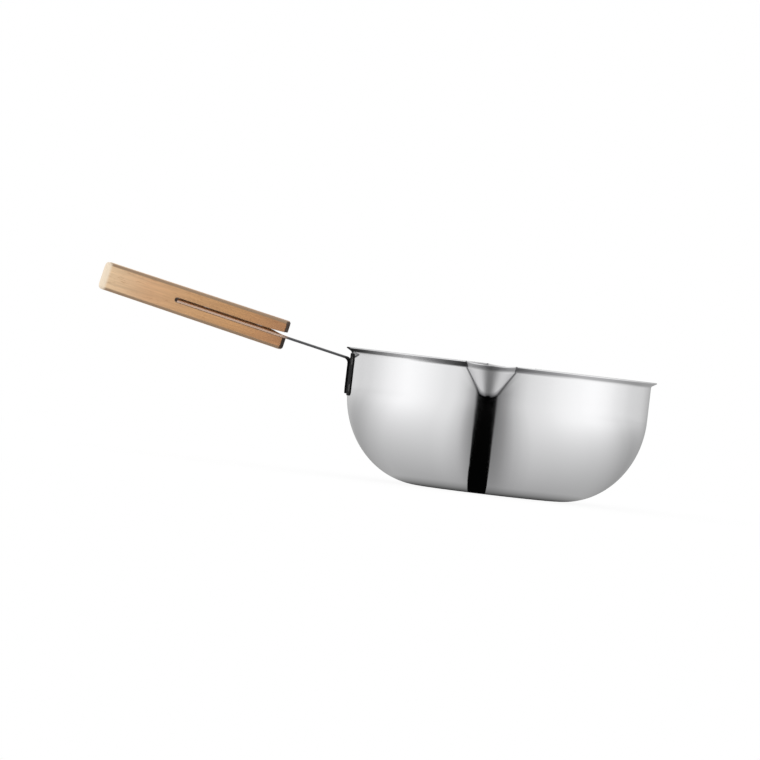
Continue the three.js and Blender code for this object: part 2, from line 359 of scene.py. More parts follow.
@dataclass(frozen=True)
class WeldedStrip(BlackenedSteel):
    """Strip that the heat of welding has darkened from its lower end.

    Attributes:
        scale_end: Place along the strip where the oxide beside the welds ends.
        heated: Colour of the steel beyond it, which got less heat.
        heated_end: Place along the strip where that ends.
        wood_reflection: How much of the steel beyond that is matt brown, a painted reflection of
            the wood
        round it in the handle.
        fade: Length over which one goes into the next.
    """

    scale_end: float = 20 * MM
    heated: str = "#5a5a5c"
    heated_end: float = 58 * MM
    wood_reflection: float = 1.0
    fade: float = 5 * MM

    def look(self, tree: Tree, roughness: Socket) -> dict[str, object]:
        """Colour the strip along its length: oxide, then heated steel, then its last colour.

        Args:
            tree: The material's tree.
            roughness: The marks' roughness.

        Returns:
            What the shader takes.
        """
        flat = add_node(tree, "Attribute", attribute_name=FLAT_PLACE).outputs["Vector"]
        along = add_node(tree, "SeparateXYZ", {0: flat}).outputs["X"]
        clear, bare = self.scale_end + self.fade, self.heated_end + self.fade
        share = add_node(tree, "Math", {0: along, 1: bare}, operation="DIVIDE").outputs[0]
        places = [place / bare for place in (self.scale_end, clear, self.heated_end, bare)]
        tones = [linear(tone) for tone in (self.scale, self.heated, self.heated, self.colour)]
        # Beyond the heated steel the last colour is matt: a painted reflection of the handle's wood
        shine = [BLACK, WHITE, WHITE, [1 - self.wood_reflection] * 3 + [1]]
        colour, metal = (
            add_node(tree, "ValToRGB", {"Fac": share}, list(zip(places, levels))).outputs["Color"]
            for levels in (tones, shine)
        )
        dulled = add_node(tree, "Mix", {0: metal, 2: self.scale_roughness, 3: roughness})
        return self.shown(colour, metal, dulled.outputs[0])


@dataclass(frozen=True)
class HeatTintedSteel(SteelFinish):
    """Stainless steel that a weld has coloured in rings.

    Attributes:
        straw: Colour of the ring where the heat stopped.
        edge: Colour outside that ring.
        tint_radius: Radius that the rings take up.
        core: Share of it that has the steel's own colour.
        ring: Share of it where the straw ring lies.
    """

    straw: str = "#2c2721"
    edge: str = "#161617"
    tint_radius: float = 2.533 * MM
    core: float = 0.35
    ring: float = 0.75

    def look(self, tree: Tree, roughness: Socket) -> dict[str, object]:
        """Colour the steel in rings about the weld's own axis.

        Args:
            tree: The material's tree.
            roughness: The marks' roughness.

        Returns:
            What the shader takes.
        """
        place = add_node(tree, "TexCoord").outputs["Object"]
        feeds = {"Value": from_axis(tree, place), "From Max": self.tint_radius}
        share = add_node(tree, "MapRange", feeds).outputs[0]
        rings = ((self.core, self.colour), (self.ring, self.straw), (1.0, self.edge))
        stops = [(position, linear(tone)) for position, tone in rings]
        colour = add_node(tree, "ValToRGB", {"Fac": share}, stops).outputs["Color"]
        return {"Base Color": colour, "Metallic": 1.0, "Roughness": roughness}


@dataclass(frozen=True)
class WoodFinish:
    """Beech, planed, sanded and oiled, with its grain along the piece's own X.

    A facing is how far the surface turns towards an axis, from -1 to 1.

    Attributes:
        name: The wood and how its surface was made.
        ends: Places of the front and the rear end along the piece's own X.
        tones: Colours of the face from the front, browned by heat and oil, to the rear.
        contrast: How far the growth rings and fibres go up and down from these.
        fleck: Colour of the short dark rays that mark beech.
        shaded_end_grain: Colour of the square-cut front end: end grain, darker still by painted
            shade.
        rear_highlight: Colour of the rounded rear end, a painted highlight.
        edge: Colour of the rounded long edges, painted shade.
        ring_width: Distance between growth rings on the face.
        ring_length: Distance over which a ring wanders.
        ring_wander: How much the rings bend.
        fibre_width: Width of a fibre, drawn coarse because real fibres are too fine to show.
        fibre_length: Length of a fibre.
        fibre_share: How much the fibres count in the grain, against the rings.
        fleck_width: Width of a ray fleck.
        fleck_length: Length of a ray fleck.
        fleck_strength: How much of its own colour a fleck has.
        detail: How many finer streaks lie in each one, in steps of half its size.
        grain_band: Where most of the grain's noise lies.
        fleck_band: Noise where a fleck starts, and where it is full.
        fibre_band: Where most of the fibres' noise lies.
        edge_facing: Facing up or down where the edges' colour starts, is full, goes and is gone.
        rear_facing: Facing along X where the rear end's colour starts and is full.
        rear_strength: How much of its own colour the rear end has.
        front_facing: Facing along X where the square-cut end's colour starts and is full.
        roughness: Roughness between the fibres and on them.
        end_roughness: Roughness of the square-cut end.
        relief: Depth of the open grain.
    """

    name: str = "beech_sanded_and_oiled"
    ends: tuple[float, float] = (-41.4 * MM, -158.4 * MM)
    tones: tuple[str, ...] = ("#a97850", "#b48658", "#be9265", "#caa078", "#d9bd99")
    contrast: float = 0.15
    fleck: str = "#94653f"
    shaded_end_grain: str = "#3a2413"
    rear_highlight: str = "#e3d2bb"
    edge: str = "#876d52"
    ring_width: float = 4.2 * MM
    ring_length: float = 70 * MM
    ring_wander: float = 0.5
    fibre_width: float = 0.9 * MM
    fibre_length: float = 16 * MM
    fibre_share: float = 0.42
    fleck_width: float = 0.8 * MM
    fleck_length: float = 4.5 * MM
    fleck_strength: float = 0.6
    detail: float = 3.0
    grain_band: tuple[float, float] = (0.36, 0.64)
    fleck_band: tuple[float, float] = (0.6, 0.75)
    fibre_band: tuple[float, float] = (0.3, 0.7)
    edge_facing: tuple[float, ...] = (0.15, 0.45, 0.93, 0.995)
    rear_facing: tuple[float, float] = (-0.05, -0.32)
    rear_strength: float = 0.9
    front_facing: tuple[float, float] = (0.5, 0.9)
    roughness: tuple[float, float] = (0.5, 0.38)
    end_roughness: float = 0.9
    relief: float = 0.03 * MM

    def streaks(self, tree: Tree, width: float, length: float, wander: float = 0.0) -> Socket:
        """Draw streaks of a real width and length along the grain, as a value from 0 to 1."""
        place = add_node(tree, "TexCoord").outputs["Object"]
        return patches(tree, place, (length, width, width), self.detail, wander)

    def face(self, tree: Tree, fibres: Socket) -> Colour:
        """Colour the long faces: browner towards the front, with rings, fibres and flecks.

        Args:
            tree: The material's tree.
            fibres: The fibres.

        Returns:
            The colour.
        """
        place = add_node(tree, "TexCoord").outputs["Object"]
        along = add_node(tree, "SeparateXYZ", {0: place}).outputs["X"]
        front, rear = self.ends
        feeds = {"Value": along, "From Min": front, "From Max": rear}
        share = add_node(tree, "MapRange", feeds).outputs[0]
        stops = list(zip(shares(len(self.tones) - 1), map(linear, self.tones)))
        tone = add_node(tree, "ValToRGB", {"Fac": share}, stops).outputs["Color"]
        rings = self.streaks(tree, self.ring_width, self.ring_length, self.ring_wander)
        both = add_node(tree, "Mix", {0: self.fibre_share, 2: rings, 3: fibres}).outputs[0]
        least, most = self.grain_band
        low, high = 1 - self.contrast, 1 + self.contrast
        feeds = {"Value": both, "From Min": least, "From Max": most, "To Min": low, "To Max": high}
        value = add_node(tree, "MapRange", feeds).outputs[0]
        grained = add_node(tree, "HueSaturation", {"Value": value, "Color": tone}).outputs[0]
        flecks = self.streaks(tree, self.fleck_width, self.fleck_length)
        start, full = self.fleck_band
        feeds = {"Value": flecks, "From Min": start, "From Max": full}
        feeds["To Max"] = self.fleck_strength
        fleck = add_node(tree, "MapRange", feeds).outputs[0]
        return coated(tree, grained, [(fleck, self.fleck)])

    @cache
    def material(self) -> bpy.types.Material:
        """Make the material once: the face's colour, with painted shade and a painted highlight by
        which way the wood faces.

        Returns:
            The material.
        """
        material, tree = new_material(self.name)
        fibres = self.streaks(tree, self.fibre_width, self.fibre_length)
        normal = add_node(tree, "TexCoord").outputs["Normal"]
        facing = add_node(tree, "SeparateXYZ", {0: normal}).outputs
        level = add_node(tree, "Math", {0: facing["Z"]}, operation="ABSOLUTE").outputs[0]
        stops = list(zip(self.edge_facing, (BLACK, WHITE, WHITE, BLACK)))
        long_edges = add_node(tree, "ValToRGB", {"Fac": level}, stops).outputs["Color"]
        ends = []
        limits = ((self.rear_facing, self.rear_strength), (self.front_facing, 1.0))
        for (start, full), strength in limits:
            feeds = {"Value": facing["X"], "From Min": start, "From Max": full, "To Max": strength}
            ends.append(add_node(tree, "MapRange", feeds).outputs[0])
        rear, square_end = ends
        # Painted shade on the long edges and the square-cut front end, and a painted highlight on
        # the rear end
        coats = ((long_edges, self.edge), (rear, self.rear_highlight), (square_end, self.shaded_end_grain))
        colour = coated(tree, self.face(tree, fibres), coats)
        (least, most), (between, on_fibre) = self.fibre_band, self.roughness
        feeds = {"Value": fibres, "From Min": least, "From Max": most}
        feeds.update({"To Min": between, "To Max": on_fibre})
        sanded = add_node(tree, "MapRange", feeds).outputs[0]
        feeds = {0: square_end, 2: sanded, 3: self.end_roughness}
        roughness = add_node(tree, "Mix", feeds).outputs[0]
        close_material(tree, fibres, self.relief, {"Base Color": colour, "Roughness": roughness})
        return material


# Mirror polish: clear reflections, a little soft at their edges, with hardly a mark to see
MIRROR_STAINLESS = PressedSteel(
    name="stainless_sheet_mirror_polished",
    colour="#cbcbcc",
    roughness=0.09,
    spread=0.012,
    grain=Grain.ROUND,
    mark_pitch=1.6 * MM,
    mark_length=14 * MM,
    mark_depth=0.00004 * MM,
)

# Inside, an abrasive pad was run round: satin rings, drawn coarser than they are so that they show
SATIN_STAINLESS = SteelFinish(
    name="stainless_sheet_satin_spun",
    colour="#c4c4c5",
    roughness=0.3,
    spread=0.05,
    grain=Grain.ROUND,
    mark_pitch=4.5 * MM,
    mark_length=2000 * MM,
    mark_depth=0.006 * MM,
    mark_detail=0.0,
)

# Strip as it was rolled and linished: straight fine lines along it, drawn coarser so that they
# show, with a matt black oxide beside the welds, a grey heat tint further along, and in the handle
# a matt brown that is a painted reflection of the wood
LINISHED_STAINLESS = WeldedStrip(
    name="stainless_strip_linished",
    colour="#c08f62",
    roughness=0.3,
    spread=0.05,
    grain=Grain.ALONG,
    mark_pitch=0.5 * MM,
    mark_length=24 * MM,
    mark_depth=0.001 * MM,
)

# The edges that the shears left: rougher, so that they catch light from all sides, and without
# the painted brown reflection where they lie in the handle
SHEARED_STAINLESS = replace(
    LINISHED_STAINLESS,
    name="stainless_strip_sheared",
    colour="#c9ae9c",
    roughness=0.5,
    wood_reflection=0.0,
)

# The seat plate lies in the heat of all the welds, and its black oxide was left on
SCALED_STAINLESS = replace(
    LINISHED_STAINLESS,
    name="stainless_strip_welded_and_left_black",
    scale_end=60 * MM,
    heated_end=80 * MM,
)

# A spot weld's print: dull and dark, with a faint straw ring where the heat stopped
WELD_STAINLESS = HeatTintedSteel(
    name="stainless_spot_weld_print",
    colour="#1e1d1c",
    roughness=0.5,
    spread=0.06,
    grain=Grain.ROUND,
    mark_pitch=0.5 * MM,
    mark_length=30 * MM,
    mark_depth=0.002 * MM,
)

# Screws turned from bar: bright, with rings from the tool
TURNED_STAINLESS = SteelFinish(
    name="stainless_bar_turned",
    colour="#b4b4b6",
    roughness=0.22,
    spread=0.04,
    grain=Grain.ROUND,
    mark_pitch=0.35 * MM,
    mark_length=30 * MM,
    mark_depth=0.0015 * MM,
)

# Oiled beech: a warm satin brown with straight grain and short flecks, with painted shade on its
# long edges and front end, and a painted highlight on its rear end
OILED_BEECH = WoodFinish()


# Meshes


def shares(steps: int) -> list[float]:
    """Equal steps from 0 to 1, both ends included."""
    return [i / steps for i in range(steps + 1)]


def closing(steps: int) -> list[float]:
    """Steps from 0 to 1 that lie closer towards 0, as those round a quarter circle do."""
    return [1 - math.cos(share * math.pi / 2) for share in shares(steps)]


def circle(radius: float, sides: int, height: float = 0.0) -> list[Vector]:
    """Points round the Z axis."""
    turns = [2 * math.pi * i / sides for i in range(sides)]
    return [Vector((radius * math.cos(a), radius * math.sin(a), height)) for a in turns]


def eased(share: float) -> float:
    """Go from 0 to 1 with a soft start and a soft end, and stay there."""
    held = min(max(share, 0), 1)
    return held * held * (3 - 2 * held)


def rounded(radius: float, distance: float) -> float:
    """How far a side draws in at a distance from an end with rounded corners."""
    left = max(radius - distance, 0)
    return radius - math.sqrt(radius * radius - left * left)


def new_piece(name: str, points: Sequence[Vector], faces: Sequence[Sequence[int]]) -> Piece:
    """Make an object of points and faces, with its faces turned outwards.

    Args:
        name: The object's name.
        points: Its points.
        faces: Its faces, as indices into the points.

    Returns:
        The object, in the scene.
    """
    mesh = bpy.data.meshes.new(name)
    mesh.from_pydata(points, [], faces)
    work = bmesh.new()
    work.from_mesh(mesh)
    bmesh.ops.recalc_face_normals(work, faces=work.faces)
    work.to_mesh(mesh)
    work.free()
    piece = bpy.data.objects.new(name, mesh)
    bpy.context.scene.collection.objects.link(piece)
    return piece


def skinned(name: str, rings: Sequence[Sequence[Vector]]) -> Piece:
    """Skin closed rings of points into one closed piece.

    Args:
        name: The piece's name.
        rings: The rings, with as many points in each, or one point for a pole. An end ring of
            several points is closed by one flat face.

    Returns:
        The piece.
    """
    starts = [0, *accumulate(len(ring) for ring in rings)]
    faces: list[list[int]] = []
    for i, (ring, following) in enumerate(pairwise(rings)):
        around = max(len(ring), len(following))
        for j in range(around):
            k = (j + 1) % around
            near = [starts[i] + n % len(ring) for n in (j, k)]
            far = [starts[i + 1] + n % len(following) for n in (k, j)]
            faces.append(list(dict.fromkeys(near + far)))
    for i in (0, len(rings) - 1):
        if len(rings[i]) > 1:
            faces.append(list(range(starts[i], starts[i + 1])))
    return new_piece(name, [point for ring in rings for point in ring], faces)


def turned(name: str, profile: Profile, sides: int = 48) -> Piece:
    """Turn a profile about Z.

    Args:
        name: The piece's name.
        profile: Radius and height of each point. Points on the axis are poles.
        sides: Number of sides.

    Returns:
        The piece.
    """
    rings = [circle(r, sides, z) if r else [Vector((0, 0, z))] for r, z in profile]
    return skinned(name, rings)


def settle(piece: Piece) -> None:
    """Apply a piece's modifiers to its mesh.

    Args:
        piece: The piece.
    """
    plain = piece.data
    graph = bpy.context.evaluated_depsgraph_get()
    piece.data = bpy.data.meshes.new_from_object(piece.evaluated_get(graph))
    piece.modifiers.clear()
    bpy.data.meshes.remove(plain)


def carve(piece: Piece, cutters: Sequence[Piece]) -> None:
    """Cut other pieces out of a piece, and drop them.

    Args:
        piece: The piece that is cut.
        cutters: The closed pieces that are cut out of it.
    """
    for cutter in cutters:
        cut = piece.modifiers.new("cut", "BOOLEAN")
        cut.operation, cut.solver, cut.object = "DIFFERENCE", "EXACT", cutter
    settle(piece)
    for cutter in cutters:
        bpy.data.objects.remove(cutter)


def soften(piece: Piece, width: float) -> None:
    """Break a piece's sharp edges, with its flat faces still shaded flat.

    Args:
        piece: The piece.
        width: Width of the broken edge.
    """
    bevel = piece.modifiers.new("broken_edges", "BEVEL")
    bevel.limit_method, bevel.angle_limit = "ANGLE", BEVEL_ANGLE
    bevel.width, bevel.segments, bevel.use_clamp_overlap = width, BEVEL_SEGMENTS, False
    settle(piece)
    piece.data.shade_smooth()
    piece.modifiers.new("flat_faces", "WEIGHTED_NORMAL")
    settle(piece)


def smooth(piece: Piece) -> None:
    """Shade a piece smooth, but for its sharp edges."""
    piece.data.shade_smooth()
    piece.data.set_sharp_from_angle(angle=SHARP_ANGLE)


def keep_vectors(piece: Piece, name: str, vectors: Sequence[Sequence[float]]) -> None:
    """Keep a vector for each point of a piece, as an attribute that materials read."""
    kept = piece.data.attributes.new(name, "FLOAT_VECTOR", "POINT")
    kept.data.foreach_set("vector", [value for vector in vectors for value in vector])


def stand_for(
    piece: Piece,
    node: str,
    finishes: Sequence[SteelFinish | WoodFinish],
) -> None:
    """Dress a piece and let it stand for a node of the frame.

    Args:
        piece: The piece.
        node: The node that it replaces.
        finishes: Its finishes, in the order of its faces' material numbers.
    """
    for finish in finishes:
        piece.data.materials.append(finish.material())
    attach(piece, BODY)
    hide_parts(node)
    log.info("%s stands for %s: %d faces", piece.name, node, len(piece.data.polygons))


@dataclass(frozen=True)
class Blank:
    """A strip cut from flat sheet, with round holes, before it is bent.

    Attributes:
        stations: Places along the strip where it gets a row of points, from end to end.
        width: Width of the strip.
        thickness: Thickness of the sheet.
        start_radius: Radius of its corners at the first station.
        end_radius: Radius of its corners at the last station.
        holes: Place along, place across and radius of each hole.
        columns: Number of columns of points across.
        corner_steps: Number of steps round a corner.
        hole_sides: Number of sides of a hole.
        edge_finish: Which of the piece's finishes its cut edges have.
        clear: Least distance from an inner point to an edge.
        same_point: Distance under which two points are one.
    """

    stations: tuple[float, ...]
    width: float
    thickness: float
    start_radius: float
    end_radius: float
    holes: tuple[tuple[float, float, float], ...]
    columns: int = 14
    corner_steps: int = 8
    hole_sides: int = 36
    edge_finish: int = 0
    clear: float = 0.6 * MM
    same_point: float = 0.0001 * MM

    def half_width(self, along: float) -> float:
        """Half the strip's width at a place along it."""
        start = rounded(self.start_radius, along - self.stations[0])
        return self.width / 2 - max(start, rounded(self.end_radius, self.stations[-1] - along))

    def in_hole(self, point: Vector, clear: float = 0.0) -> bool:
        """Whether a point lies in a hole, or less than a clear distance from one."""
        return any((point - Vector(hole[:2])).length <= hole[2] + clear for hole in self.holes)

    def outline(self) -> list[Vector]:
        """Go round the strip.

        Returns:
            The points, in order.
        """
        steps = closing(self.corner_steps)
        first, last = self.stations[0], self.stations[-1]
        begin = [first + self.start_radius * step for step in steps]
        finish = [last - self.end_radius * step for step in reversed(steps)]
        middle = [s for s in self.stations if begin[-1] + self.clear < s < finish[0] - self.clear]
        places = sorted({*begin, *middle, *finish})
        across = [2 * share - 1 for share in shares(self.columns)][1:-1]
        side = [Vector((s, -self.half_width(s))) for s in places]
        end = [Vector((last, share * self.half_width(last))) for share in across]
        back = [Vector((s, self.half_width(s))) for s in reversed(places)]
        start = [Vector((first, -share * self.half_width(first))) for share in across]
        return [*side, *end, *back, *start]

    def inner_points(self) -> list[Vector]:
        """Lay a grid of points well inside the strip and clear of its holes.

        Returns:
            The points.
        """
        places = [self.width * (share - 0.5) for share in shares(self.columns)]
        first, last = self.stations[0] + self.clear, self.stations[-1] - self.clear
        return [
            point
            for point in (Vector((s, t)) for s in self.stations[1:-1] for t in places)
            if first < point.x < last
            and abs(point.y) < self.half_width(point.x) - self.clear
            and not self.in_hole(point, self.clear)
        ]

    def flat_sheet(self) -> tuple[list[Vector], list[tuple[int, ...]]]:
        """Fill the outline, but for the holes.

        Returns:
            The points, and the faces as indices into them.
        """
        loops = [self.outline()]
        for along, across, radius in self.holes:
            middle = Vector((along, across))
            loops.append([middle + point.to_2d() for point in circle(radius, self.hole_sides)])
        starts = [0, *accumulate(len(loop) for loop in loops)]
        edges = [
            (start + i, start + (i + 1) % len(loop))
            for start, loop in zip(starts, loops)
            for i in range(len(loop))
        ]
        points = [point for loop in loops for point in loop] + self.inner_points()
        points, _, faces, *_ = delaunay_2d_cdt(points, edges, [], 1, self.same_point)
        middles = [sum((points[i] for i in face), Vector((0, 0))) / len(face) for face in faces]
        sheet = [tuple(face) for face, at in zip(faces, middles) if not self.in_hole(at)]
        return points, sheet

    def bent(self, name: str, bend: Callable[[float, float, float], Vector], edge: float) -> Piece:
        """Cut the strip and bend it.

        Args:
            name: The piece's name.
            bend: Where a point goes, from its place along, across and through the sheet.
            edge: Width of the broken edges.

        Returns:
            The piece, with each point's flat place kept for the grain.
        """
        flat, sheet = self.flat_sheet()
        sides = Counter(frozenset(pair) for face in sheet for pair in pairwise((*face, face[0])))
        rims = [tuple(pair) for pair, uses in sides.items() if uses == 1]
        count, half = len(flat), self.thickness / 2
        walls = [(a, b, b + count, a + count) for a, b in rims]
        under = [tuple(i + count for i in face) for face in sheet]
        places = [(point.x, point.y, through) for through in (half, -half) for point in flat]
        piece = new_piece(name, [bend(*place) for place in places], [*sheet, *under, *walls])
        keep_vectors(piece, FLAT_PLACE, places)
        for face in piece.data.polygons[2 * len(sheet) :]:
            face.material_index = self.edge_finish
        soften(piece, edge)
        return piece


# The pan


@dataclass(frozen=True)
class Spout:
    """A pouring spout pressed out of the wall, whose creases are a V with a round toe.

    Attributes:
        width: Distance between the creases at the rim.
        foot: Half the distance at which the V's sides would meet the height of the toe.
        flare: How far a side of the V runs out for its rise.
        toe_round: Height over which the toe rounds off.
        drop: Height from the toe to the rim.
        reach: How far it stands out at the rim.
        dip: How far drawing it out pulled its lip down.
        toe: Height of the rounded toe, where the rows of points lie close.
        crest: Power of its section across, from 1 for a plain V to a flatter middle.
        crease: Size of the small hollow along its creases.
        crease_shade_width: Half the width of the painted grey shade along its creases.
        narrowest: Share of the width that the columns of points keep at the toe and under it.
        half_columns: Number of columns of points from its middle to a crease.
        beyond: Number of such columns past a crease.
        crease_columns: Number of columns that lie close on each side of a crease.
        crease_step: Distance between these, as a share of the half width.
    """

    width: float = 29 * MM
    foot: float = 3.8 * MM
    flare: float = 0.67
    toe_round: float = 3 * MM
    drop: float = 19.9 * MM
    reach: float = 10 * MM
    dip: float = 0.9 * MM
    toe: float = 6.4 * MM
    crest: float = 2.5
    crease: float = 0.1 * MM
    crease_shade_width: float = 1.5 * MM
    narrowest: float = 0.4
    half_columns: int = 16
    beyond: int = 5
    crease_columns: int = 5
    crease_step: float = 0.02

    def half_width(self, rise: float) -> float:
        """Half the distance between the creases.

        Args:
            rise: Height above the toe.

        Returns:
            The half width, below 0 under the toe.
        """
        high = abs(rise)
        sides = min(self.foot + self.flare * high, self.width / 2)
        below = max(1 - high / self.toe_round, 0)
        return math.copysign(sides * math.sqrt(1 - below * below), rise)

    def lift(self, offset: float, rise: float) -> float:
        """How far the spout's plain form lies out of the wall.

        Args:
            offset: Distance from its middle, along the wall.
            rise: Height above the toe.

        Returns:
            The distance, below 0 outside the creases.
        """
        half = self.half_width(rise)
        if half <= 0:
            return self.reach * (rise / self.drop - offset / self.width)
        return self.reach * rise / self.drop * (1 - (offset / half) ** self.crest)

    def stand(self, offset: float, rise: float) -> float:
        """How far the sheet stands out: the plain form, with a small hollow along its creases.

        Args:
            offset: Distance from the spout's middle, along the wall.
            rise: Height above the toe.

        Returns:
            The distance, 0 or more.
        """
        plain = self.lift(offset, rise)
        hollow = max(self.crease - abs(plain), 0) / self.crease
        return max(plain, 0) + hollow * hollow * self.crease / 4

    def columns(self) -> list[float]:
        """Place the columns of points from side to side.

        Returns:
            Their places, as shares of the half width.
        """
        even = [i / self.half_columns for i in range(self.half_columns + self.beyond + 1)]
        close = range(-self.crease_columns, self.crease_columns + 1)
        right = sorted({*even, *(1 + self.crease_step * i for i in close)})
        return [-share for share in reversed(right[1:])] + right


@dataclass(frozen=True)
class Bowl:
    """The bowl, pressed from one sheet, with a flared lip and two pouring spouts.

    Attributes:
        inner_radius: Radius of the straight wall, inside.
        sheet: Thickness of the sheet.
        height: Height of the lip.
        flat_radius: Radius of the flat underside.
        corner: Height of the rounded corner between base and wall.
        lip_reach: How far the lip stands out of the wall.
        lip_lean: Angle of the lip from the vertical.
        lip_bend: Radius of the bend under the lip.
        lip_edge: Radius that breaks the lip's edge.
        dull: How much painted grey shade the lip has underneath, beside a spout.
        spout_lip_shade: How much painted grey shade the lip has underneath, in a spout.
        dark_lip_reflection: How much painted black, a dark reflection, the lip has underneath
            beside a spout, on the handle's side.
        lip_shade_length: Length of lip over which both end.
        lip_shade_start: Distance from the axis, towards the handle, from where the lip is painted
            black
            underneath: a painted dark reflection, and painted shade by the bracket.
        lip_shade_full: Distance from where it is all black.
        lip_shade_rise: How far over the wall's top the black starts.
        black_start: Distance from where it starts lower down.
        black_full: Distance from where it starts at the wall's top and takes in the lip's edge.
        spout: The spouts.
        base_rows: Number of rows of points from the axis to the corner.
        corner_rows: Number of rows up the corner.
        toe_rows: Number of rows that lie close at the spouts' toes.
        toe_below: Share of these that lie below the toes.
        wall_rows: Number of rows from there to the wall's top.
        lip_rows: Number of rows round the bend under the lip.
        edge_rows: Number of rows round each side of the lip's edge.
        columns: Number of columns of points from spout to spout.
    """

    inner_radius: float = 90 * MM
    sheet: float = 0.8 * MM
    height: float = 77.9 * MM
    flat_radius: float = 42 * MM
    corner: float = 54 * MM
    lip_reach: float = 3.4 * MM
    lip_lean: float = math.radians(60)
    lip_bend: float = 1.5 * MM
    lip_edge: float = 0.3 * MM
    dull: float = 0.85
    spout_lip_shade: float = 0.4
    dark_lip_reflection: float = 0.85
    lip_shade_length: float = 40 * MM
    lip_shade_start: float = 36 * MM
    lip_shade_full: float = 88 * MM
    lip_shade_rise: float = 0.35 * MM
    black_start: float = 86.5 * MM
    black_full: float = 88.8 * MM
    spout: Spout = Spout()
    base_rows: int = 4
    corner_rows: int = 40
    toe_rows: int = 20
    toe_below: float = 0.15
    wall_rows: int = 18
    lip_rows: int = 8
    edge_rows: int = 3
    columns: int = 64

    @property
    def outer_radius(self) -> float:
        """Radius of the straight wall, outside."""
        return self.inner_radius + self.sheet

    @property
    def lip_straight(self) -> float:
        """Length of the straight stretch of the lip."""
        bent = self.lip_bend * (1 - math.cos(self.lip_lean))
        return (self.lip_reach - bent) / math.sin(self.lip_lean)

    @property
    def wall_top(self) -> float:
        """Height where the wall ends and the lip bends out."""
        bent = (self.lip_bend + self.sheet) * math.sin(self.lip_lean)
        return self.height - bent - self.lip_straight * math.cos(self.lip_lean)

    @property
    def corner_width(self) -> float:
        """Width of the rounded corner between base and wall."""
        return self.outer_radius - self.flat_radius

    def wall_radius(self, height: float) -> float:
        """Radius of the outside at a height."""
        share = max(self.corner - height, 0) / self.corner
        return self.flat_radius + self.corner_width * math.sqrt(1 - share * share)

    def wall_lean(self, height: float) -> float:
        """How far the outside's normal points down at a height."""
        share = max(self.corner - height, 0) / self.corner
        return math.atan2(share / self.corner, math.sqrt(1 - share * share) / self.corner_width)

    def side(self, inset: float) -> Profile:
        """Profile of one side of the sheet, from the base to the end of the lip's bend.

        Args:
            inset: How far this side lies in from the outside.

        Returns:
            Radius and height of each point.
        """
        base = [(self.flat_radius * share, inset) for share in shares(self.base_rows)]
        across, up = self.corner_width - inset, self.corner - inset
        turns = [share * math.pi / 2 for share in shares(self.corner_rows)[1:]]
        corner = [
            (self.flat_radius + across * math.sin(turn), self.corner - up * math.cos(turn))
            for turn in turns
        ]
        toe = self.height - self.spout.drop
        low = [toe + self.spout.toe * (share - self.toe_below) for share in shares(self.toe_rows)]
        high = [low[-1] + (self.wall_top - low[-1]) * share for share in shares(self.wall_rows)[1:]]
        wall = [(self.outer_radius - inset, z) for z in low + high]
        bend = self.lip_bend + inset
        leans = [share * self.lip_lean for share in shares(self.lip_rows)[1:]]
        middle = self.outer_radius + self.lip_bend
        lip = [(middle - bend * math.cos(a), self.wall_top + bend * math.sin(a)) for a in leans]
        return [*base, *corner, *wall, *lip]

    def edge(self, outer_end: tuple[float, float]) -> Profile:
        """Profile of the lip's straight stretch and its rounded edge.

        Args:
            outer_end: Where the bend ends on the outside.

        Returns:
            Radius and height of each point, from the outside to the inside.
        """
        along = Vector((math.sin(self.lip_lean), math.cos(self.lip_lean)))
        under = Vector((along.y, -along.x))
        tip = Vector(outer_end) + along * (self.lip_straight - self.lip_edge)
        outer, inner = tip - under * self.lip_edge, tip - under * (self.sheet - self.lip_edge)
        arcs = [
            centre + self.lip_edge * (math.cos(turn) * under + math.sin(turn) * along)
            for centre, start in ((outer, 0), (inner, math.pi / 2))
            for turn in (start + share * math.pi / 2 for share in shares(self.edge_rows))
        ]
        return [(point.x, point.y) for point in arcs]

    def ring(self, radius: float, height: float) -> list[Vector]:
        """One ring of points, whose columns follow the spouts' creases.

        Args:
            radius: The ring's radius away from the spouts.
            height: Its height.

        Returns:
            The points, all the way round.
        """
        if not radius:
            return [Vector((0, 0, height))]
        rise = height - self.height + self.spout.drop
        half = max(self.spout.half_width(rise), self.spout.narrowest * self.spout.width / 2)
        half_turn = half / self.outer_radius
        spout = self.spout.columns()
        places = [(share * half_turn, self.spout.stand(abs(share) * half, rise)) for share in spout]
        end = spout[-1] * half_turn
        plain = math.pi - 2 * end
        places += [(end + plain * share, 0.0) for share in shares(self.columns)[1:-1]]
        return [
            Vector((math.cos(angle + turn), math.sin(angle + turn), 0)) * (radius + stand)
            + Vector((0, 0, height))
            for angle in (-math.pi / 2, math.pi / 2)
            for turn, stand in places
        ]

    def spout_place(self, point: Vector) -> tuple[float, float]:
        """Distance from the nearer spout's middle, along the wall, and height above its toe."""
        offset = math.atan2(abs(point.x), abs(point.y)) * self.outer_radius
        return offset, point.z - self.height + self.spout.drop

    def worked_and_shaded(self, point: Vector) -> tuple[float, float, float]:
        """What pressing did to the sheet at a point, and how much painted shade it gets.

        Args:
            point: A point of the bowl.

        Returns:
            How much it was drawn out, how much painted grey shade it gets in the creases and under
            the lip by the spouts, and how much painted black it gets under the lip towards the
            handle, from 0 to 1.
        """
        offset, rise = self.spout_place(point)
        lift = self.spout.lift(offset, rise)
        line = self.spout.crease_shade_width
